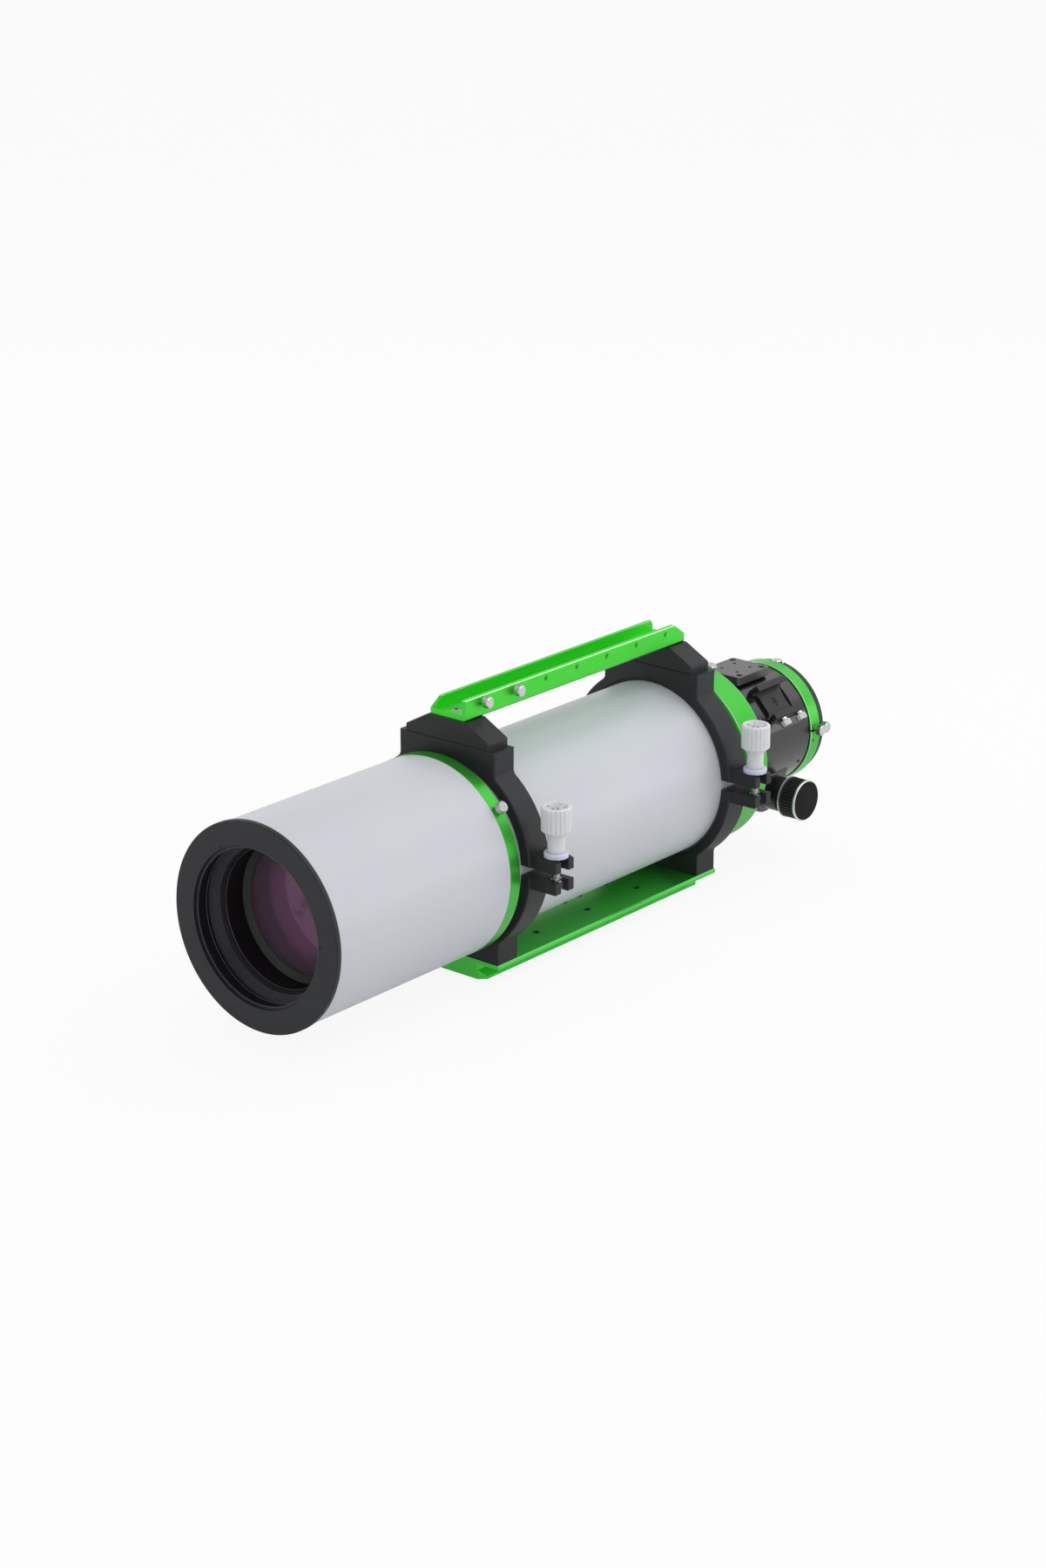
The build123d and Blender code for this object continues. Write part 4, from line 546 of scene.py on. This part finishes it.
class PieceTree:
    """Geometry tree with named sizes, which sets one shape at each of its places and gives it a finish."""

    def __init__(self, name, counts=(), sizes=()):
        self.group = bpy.data.node_groups.new(name, "GeometryNodeTree")
        self.add_socket("Geometry", "NodeSocketGeometry", "OUTPUT")
        self.add_socket("Places", "NodeSocketGeometry")
        for count in counts:
            self.add_socket(count, "NodeSocketInt")
        for size in sizes:
            self.add_socket(size, "NodeSocketFloat")
        self.add_socket("Finish", "NodeSocketMaterial")
        self.inputs = self.group.nodes.new("NodeGroupInput").outputs

    def add_socket(self, name, kind, side="INPUT"):
        """Named input or output of the tree."""
        self.group.interface.new_socket(name, in_out=side, socket_type=kind)

    def add(self, kind, values=None, **settings):
        """First output of a new node, whose inputs are linked to outputs or set to plain values."""
        node = self.group.nodes.new(kind)
        for setting, value in settings.items():
            setattr(node, setting, value)
        for socket, value in (values or {}).items():
            if isinstance(value, bpy.types.NodeSocket):
                self.group.links.new(value, node.inputs[socket])
            else:
                node.inputs[socket].default_value = value
        return node.outputs[0]

    def worked_out(self, operation, first, second):
        """Number that an operation makes of two numbers."""
        return self.add("ShaderNodeMath", {0: first, 1: second}, operation=operation)

    def moved_up(self, shape, height):
        """Shape moved along Z."""
        offset = self.add("ShaderNodeCombineXYZ", {"Z": height})
        return self.add("GeometryNodeTransform", {"Geometry": shape, "Translation": offset})

    def joined(self, first, second):
        """Two shapes as one."""
        node = self.group.nodes.new("GeometryNodeJoinGeometry")
        self.group.links.new(first, node.inputs[0])
        self.group.links.new(second, node.inputs[0])
        return node.outputs[0]

    def round_rim(self, shape, count, radius):
        """Copies of a shape round a circle, each with its X axis outwards."""
        rim = self.add("GeometryNodeMeshCircle", {"Vertices": count, "Radius": radius})
        place = self.add("GeometryNodeInputPosition")
        turn = self.add("FunctionNodeAlignRotationToVector", {"Vector": place}, axis="X")
        return self.add("GeometryNodeInstanceOnPoints", {
            "Points": rim, "Instance": shape, "Rotation": turn,
        })

    def thread(self, radius, section):
        """Screw thread up from the origin: a small section carried along a helix of Turns and Length."""
        helix = self.add("GeometryNodeCurveSpiral", {
            "Resolution": THREAD_STEPS, "Rotations": self.inputs["Turns"], "Start Radius": radius,
            "End Radius": radius, "Height": self.inputs["Length"],
        })
        profile = self.add("GeometryNodeCurvePrimitiveCircle", {
            "Resolution": THREAD_SIDES, "Radius": section,
        })
        return self.add("GeometryNodeCurveToMesh", {
            "Curve": helix, "Profile Curve": profile, "Fill Caps": True,
        })

    def closed(self, shape):
        """The tree itself, once its shape stands at each place as plain faces with a finish."""
        copies = self.add("GeometryNodeInstanceOnPoints", {
            "Points": self.inputs["Places"], "Instance": shape,
        })
        faces = self.add("GeometryNodeRealizeInstances", {"Geometry": copies})
        finished = self.add("GeometryNodeSetMaterial", {
            "Geometry": faces, "Material": self.inputs["Finish"],
        })
        end = self.group.nodes.new("NodeGroupOutput")
        self.group.links.new(finished, end.inputs[0])
        return self.group


def ridged_rim_tree():
    """Straight ridges that stand round a rim, such as the knurl of a screw head."""
    tree = PieceTree("ridged_rim", ["Ridges"], ["Radius", "Ridge radius", "Length"])
    ridge = tree.add("GeometryNodeMeshCylinder", {
        "Vertices": RIDGE_SIDES, "Radius": tree.inputs["Ridge radius"], "Depth": tree.inputs["Length"],
    })
    return tree.closed(tree.round_rim(ridge, tree.inputs["Ridges"], tree.inputs["Radius"]))


def thread_tree():
    """Screw thread along a bolt."""
    tree = PieceTree("screw_thread", sizes=["Turns", "Radius", "Length", "Section"])
    return tree.closed(tree.thread(tree.inputs["Radius"], tree.inputs["Section"]))


def dish_ribs_tree():
    """Radial ribs and a hub, which stands a little prouder, on the floor of a round dish."""
    tree = PieceTree("dish_ribs", ["Ribs"], ["Reach", "Width", "Height", "Hub radius"])
    size = tree.add("ShaderNodeCombineXYZ", {
        "X": tree.inputs["Reach"], "Y": tree.inputs["Width"], "Z": tree.inputs["Height"],
    })
    rib = tree.add("GeometryNodeMeshCube", {"Size": size})
    ribs = tree.round_rim(rib, tree.inputs["Ribs"], tree.worked_out("DIVIDE", tree.inputs["Reach"], 2.0))
    hub = tree.add("GeometryNodeMeshCylinder", {
        "Vertices": HUB_STEPS, "Radius": tree.inputs["Hub radius"],
        "Depth": tree.worked_out("MULTIPLY", tree.inputs["Height"], HUB_TO_RIB_HEIGHT),
    })
    return tree.closed(tree.joined(ribs, hub))


def sleeve_tree():
    """Thread for a hole, centred on the origin, with a thin wall round it that is open on its inner side."""
    tree = PieceTree("threaded_sleeve", sizes=["Turns", "Radius", "Wall", "Length"])
    bore = tree.add("GeometryNodeMeshCylinder", {
        "Vertices": SLEEVE_STEPS, "Radius": tree.inputs["Radius"], "Depth": tree.inputs["Length"],
    }, fill_type="NONE")
    wall = tree.add("GeometryNodeExtrudeMesh", {
        "Mesh": bore, "Offset Scale": tree.inputs["Wall"], "Individual": False,
    })
    inner = tree.worked_out("SUBTRACT", tree.inputs["Radius"], tree.inputs["Wall"])
    thread = tree.thread(inner, tree.inputs["Wall"])
    lowered = tree.moved_up(thread, tree.worked_out("DIVIDE", tree.inputs["Length"], -2.0))
    return tree.closed(tree.joined(wall, lowered))


def bead_tree():
    """Thin round bead that follows a circular corner."""
    tree = PieceTree("corner_bead", sizes=["Radius", "Section"])
    corner = tree.add("GeometryNodeCurvePrimitiveCircle", {
        "Resolution": BEAD_STEPS, "Radius": tree.inputs["Radius"],
    })
    profile = tree.add("GeometryNodeCurvePrimitiveCircle", {
        "Resolution": BEAD_SIDES, "Radius": tree.inputs["Section"],
    })
    return tree.closed(tree.add("GeometryNodeCurveToMesh", {"Curve": corner, "Profile Curve": profile}))


def set_screw_tree():
    """Short plug with a hexagon socket in its top, centred on its seat, so that half of it stands proud."""
    tree = PieceTree("set_screw", sizes=["Radius", "Socket radius", "Depth"])
    plug = tree.add("GeometryNodeMeshCylinder", {
        "Vertices": SET_SCREW_STEPS, "Radius": tree.inputs["Radius"], "Depth": tree.inputs["Depth"],
    })
    hexagon = tree.add("GeometryNodeMeshCylinder", {
        "Vertices": SOCKET_SIDES, "Radius": tree.inputs["Socket radius"], "Depth": tree.inputs["Depth"],
    })
    socket = tree.moved_up(hexagon, tree.worked_out("DIVIDE", tree.inputs["Depth"], 2.0))
    return tree.closed(tree.add(
        "GeometryNodeMeshBoolean", {"Mesh 1": plug, "Mesh 2": socket}, operation="DIFFERENCE"
    ))


def new_object(name, data):
    """New object at the origin of the scene."""
    thing = bpy.data.objects.new(name, data)
    bpy.context.scene.collection.objects.link(thing)
    return thing


def faces_outward(mesh):
    """Turn all faces of a mesh outwards."""
    shape = bmesh.new()
    shape.from_mesh(mesh)
    bmesh.ops.recalc_face_normals(shape, faces=shape.faces)
    shape.to_mesh(mesh)
    shape.free()


def grown(name, tree, sizes, place, finish, points=((0, 0, 0),)):
    """Plain mesh piece that a geometry tree makes at its points, set in its place in the frame."""
    seats = bpy.data.meshes.new(name)
    seats.from_pydata([Vector(point) for point in points], [], [])
    piece = new_object(name, seats)
    modifier = piece.modifiers.new("shape", "NODES")
    modifier.node_group = tree
    for item in tree.interface.items_tree:
        if item.in_out == "INPUT" and item.socket_type != "NodeSocketGeometry":
            modifier[item.identifier] = finish if item.name == "Finish" else sizes[item.name]
    bpy.context.view_layer.update()
    shaped = piece.evaluated_get(bpy.context.evaluated_depsgraph_get())
    mesh = bpy.data.meshes.new_from_object(shaped)
    piece.modifiers.remove(modifier)
    faces_outward(mesh)
    mesh.transform(place)
    mesh.update()
    piece.data = mesh
    return piece


def outward(origin, axis):
    """Placement with local Z along an axis."""
    turn = Vector((0, 0, 1)).rotation_difference(Vector(axis)).to_matrix().to_4x4()
    return Matrix.Translation(Vector(origin)) @ turn


def beside_axis(radius, y, degrees):
    """Point on a circle round the optical axis, and the direction outwards there."""
    angle = math.radians(degrees)
    out = Vector((math.cos(angle), 0, math.sin(angle)))
    return Vector((0, y, AXIS_HEIGHT)) + radius * out, out


def fixed_to(piece, body):
    """Make a piece move with a body."""
    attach(piece, body)


def knurled_heads():
    """Knurl round the head of each chrome thumbscrew."""
    tree = ridged_rim_tree()
    sizes = {
        "Ridges": HEAD_RIDGES, "Radius": HEAD_RADIUS, "Ridge radius": RIDGE_RADIUS, "Length": HEAD_LENGTH,
    }
    middle = Matrix.Translation((0, 0, HEAD_START + HEAD_LENGTH / 2))
    joints = {joint["name"]: joint for joint in frame["joints"]}
    for body in SCREW_BODIES:
        joint = joints[f"{body}_turn"]
        place = outward(joint["pos_m"], joint["axis"]) @ middle
        fixed_to(grown(f"knurl_{body}", tree, sizes, place, FINISHES["chrome"]), body)


def bolt_threads():
    """Thread of each swing bolt, from a little above its pivot."""
    tree = thread_tree()
    sizes = {
        "Turns": BOLT_THREAD_LENGTH / BOLT_THREAD_PITCH, "Radius": BOLT_RADIUS,
        "Length": BOLT_THREAD_LENGTH, "Section": BOLT_THREAD_SECTION,
    }
    for ring, y in RING_PLACES.items():
        body = f"{ring}_bolt"
        place = Matrix.Translation((PIVOT_X, y, PIVOT_HEIGHT + BOLT_THREAD_START))
        fixed_to(grown(f"thread_{body}", tree, sizes, place, FINISHES["steel"]), body)


def knob_dishes():
    """Moulded ribs and hub in the hollow top of each clamp knob."""
    tree = dish_ribs_tree()
    sizes = {
        "Ribs": DISH_RIBS, "Reach": DISH_RADIUS, "Width": DISH_RIB_WIDTH, "Height": DISH_RIB_HEIGHT,
        "Hub radius": DISH_HUB_RADIUS,
    }
    for ring, y in RING_PLACES.items():
        body = f"{ring}_knob"
        place = Matrix.Translation((PIVOT_X, y, KNOB_TOP - DISH_DEPTH + DISH_RIB_HEIGHT / 2))
        fixed_to(grown(f"dish_{body}", tree, sizes, place, FINISHES["knob_white"]), body)


def plate_sleeves(tree):
    """Threaded sleeves in the dovetail plate, in black as painted shade inside its holes: a row along each
    side, and one near the middle.
    """
    holes = [
        (side * PLATE_HOLE_X, PLATE_HOLE_Y + step * PLATE_HOLE_PITCH, 0)
        for side in (-1, 1) for step in (-1, 0, 1)
    ]
    holes += [(MIDDLE_HOLE_X, y, 0) for y in MIDDLE_HOLES_Y]
    sizes = {
        "Turns": PLATE_SLEEVE_LENGTH / SLEEVE_PITCH, "Radius": PLATE_HOLE_RADIUS, "Wall": PLATE_SLEEVE_WALL,
        "Length": PLATE_SLEEVE_LENGTH,
    }
    place = Matrix.Translation((0, 0, PLATE_HEIGHT - PLATE_SLEEVE_SETBACK - PLATE_SLEEVE_LENGTH / 2))
    # Black finish: painted shade inside the plate's holes
    piece = grown("plate_hole_threads_painted_shade", tree, sizes, place, FINISHES["black_anodised"], holes)
    fixed_to(piece, "tube")


def bar_sleeves(tree):
    """Threaded sleeves in the row of holes along the near wall of the top bar."""
    holes = [(0, step * BAR_HOLE_PITCH, 0) for step in range(BAR_HOLE_COUNT)]
    sizes = {
        "Turns": BAR_SLEEVE_LENGTH / SLEEVE_PITCH, "Radius": BAR_HOLE_RADIUS, "Wall": BAR_SLEEVE_WALL,
        "Length": BAR_SLEEVE_LENGTH,
    }
    depth = BAR_SLEEVE_SETBACK + BAR_SLEEVE_LENGTH / 2
    first = outward((BAR_HALF - depth, BAR_HOLE_START, BAR_HOLE_HEIGHT), (1, 0, 0))
    piece = grown("bar_hole_threads", tree, sizes, first, BAR_GREEN, holes)
    fixed_to(piece, "tube")


def hole_threads():
    """Threaded sleeves of the plate and of the bar."""
    tree = sleeve_tree()
    plate_sleeves(tree)
    bar_sleeves(tree)


def lip_liner():
    """Stepped sleeve that closes the gap between the shield's lip and the lens cell."""
    corners = len(LINER_SECTION)
    points = [
        beside_axis(radius, y, 360 * step / LINER_STEPS)[0]
        for step in range(LINER_STEPS) for radius, y in LINER_SECTION
    ]
    faces = []
    for step in range(LINER_STEPS):
        row = corners * step
        following = corners * ((step + 1) % LINER_STEPS)
        for near in range(corners):
            far = (near + 1) % corners
            faces.append((row + near, row + far, following + far, following + near))
    mesh = bpy.data.meshes.new("lip_liner")
    mesh.from_pydata(points, [], faces)
    mesh.materials.append(SATIN_BLACK)
    faces_outward(mesh)
    fixed_to(new_object("lip_liner", mesh), "dew_shield")


def mouth_beads():
    """Beads of lighter metal round the lens mouth, as painted highlights on its corners."""
    tree = bead_tree()
    for number, (body, radius, y) in enumerate(MOUTH_BEADS, start=1):
        sizes = {"Radius": radius, "Section": BEAD_RADIUS}
        place = outward((0, y, AXIS_HEIGHT), (0, 1, 0))
        fixed_to(grown(f"mouth_bead_{number}", tree, sizes, place, MOUTH_HIGHLIGHT_METAL), body)


def set_screw_sizes(radius):
    """Sizes of a set screw, all but its depth in proportion to its radius."""
    return {"Radius": radius, "Socket radius": SOCKET_SHARE * radius, "Depth": SET_SCREW_DEPTH}


def set_screws():
    """Set screws on the lip's face, the rotator ring and the focuser body."""
    tree = set_screw_tree()
    black = FINISHES["black_anodised"]
    face = outward((0, LIP_FRONT, AXIS_HEIGHT), (0, -1, 0))
    seats = [
        face.inverted() @ beside_axis(LIP_SCREW_CIRCLE, LIP_FRONT, degrees)[0]
        for degrees in LIP_SCREW_DEGREES
    ]
    lip_screws = grown("lip_set_screws", tree, set_screw_sizes(LIP_SCREW_RADIUS), face, black, seats)
    fixed_to(lip_screws, "dew_shield")
    for name, (body, radius, seat) in SIDE_SCREWS.items():
        side_screw = grown(name, tree, set_screw_sizes(radius), outward(*beside_axis(*seat)), black)
        fixed_to(side_screw, body)


def studio_world():
    """White surroundings with a greyer ceiling, as camera, metal and glass see them, and an even light."""
    world = bpy.data.worlds.new("studio")
    bpy.context.scene.world = world
    world.use_nodes = True
    light = world.node_tree.nodes["Background"]
    set_sockets(light, {"Color": WHITE, "Strength": WORLD_LIGHT})
    shown = add_node(world, "ShaderNodeBackground", {"Color": WHITE})
    place = add_node(world, "ShaderNodeTexCoord")
    split = add_node(world, "ShaderNodeSeparateXYZ")
    start, end = CEILING_FALL
    fall = add_node(world, "ShaderNodeMapRange", {
        "From Min": start, "From Max": end, "To Min": 1.0, "To Max": CEILING_LIGHT,
    })
    rays = add_node(world, "ShaderNodeLightPath").outputs
    mix = add_node(world, "ShaderNodeMixShader")
    link(world, place.outputs["Generated"], split.inputs[0])
    link(world, split.outputs["Z"], fall.inputs["Value"])
    link(world, fall.outputs["Result"], shown.inputs["Strength"])
    seen = combined(
        world, "MAXIMUM", rays["Is Camera Ray"], rays["Is Glossy Ray"], rays["Is Transmission Ray"]
    )
    link(world, seen, mix.inputs["Fac"])
    link(world, light.outputs[0], mix.inputs[1])
    link(world, shown.outputs[0], mix.inputs[2])
    link(world, mix.outputs[0], world.node_tree.nodes["World Output"].inputs["Surface"])


def floor_finish():
    """White floor that keeps a little of the shadow, and more of it where metal and gloss paint show it."""
    material = bpy.data.materials.new("floor")
    material.use_nodes = True
    material.node_tree.nodes.clear()
    matte = add_node(material, "ShaderNodeBsdfDiffuse", {"Color": FLOOR_GREY})
    white = add_node(material, "ShaderNodeEmission", {"Color": WHITE, "Strength": 1.0})
    rays = add_node(material, "ShaderNodeLightPath").outputs
    mix = add_node(material, "ShaderNodeMixShader")
    end = add_node(material, "ShaderNodeOutputMaterial")
    straight = combined(material, "MAXIMUM", rays["Is Camera Ray"], rays["Is Transmission Ray"])
    seen = spread(material, straight, 0.0, 1.0 - SHADOW_SHARE)
    mirrored = spread(material, rays["Is Glossy Ray"], 0.0, 1.0 - MIRRORED_SHADOW_SHARE)
    link(material, combined(material, "MAXIMUM", seen, mirrored), mix.inputs["Fac"])
    link(material, matte.outputs[0], mix.inputs[1])
    link(material, white.outputs[0], mix.inputs[2])
    link(material, mix.outputs[0], end.inputs["Surface"])
    return material


def studio_floor():
    """Wide floor just under the dovetail plate."""
    half = FLOOR_SIZE / 2
    corners = [(x, y, -FLOOR_GAP) for x, y in ((-half, -half), (half, -half), (half, half), (-half, half))]
    mesh = bpy.data.meshes.new("floor")
    mesh.from_pydata(corners, [], [(0, 1, 2, 3)])
    mesh.materials.append(floor_finish())
    floor = new_object("floor", mesh)


def aim(thing, place, target):
    """Stand a lamp or the camera in its place and turn it to a target."""
    thing.location = place
    thing.rotation_mode = "QUATERNION"
    thing.rotation_quaternion = (Vector(target) - Vector(place)).to_track_quat("-Z", "Y")


def studio_lights():
    """Softboxes round the part."""
    for name, (place, size, watts) in SOFTBOXES.items():
        light = bpy.data.lights.new(name, "AREA")
        light.shape = "RECTANGLE"
        light.size, light.size_y = size
        light.energy = watts
        aim(new_object(name, light), place, LIGHT_TARGET)


def photo_camera():
    """Camera where the photograph was taken from."""
    lens = bpy.data.cameras.new("photo_camera")
    lens.sensor_fit = "VERTICAL"
    lens.sensor_height = CAMERA_SENSOR
    lens.sensor_width = CAMERA_SENSOR
    lens.lens = CAMERA_LENS
    camera = new_object("photo_camera", lens)
    aim(camera, CAMERA_PLACE, CAMERA_TARGET)
    bpy.context.scene.camera = camera


bpy.context.scene.view_settings.view_transform = "Standard"
dress_nodes()
knurled_heads()
bolt_threads()
knob_dishes()
hole_threads()
lip_liner()
mouth_beads()
set_screws()
studio_world()
studio_floor()
studio_lights()
photo_camera()
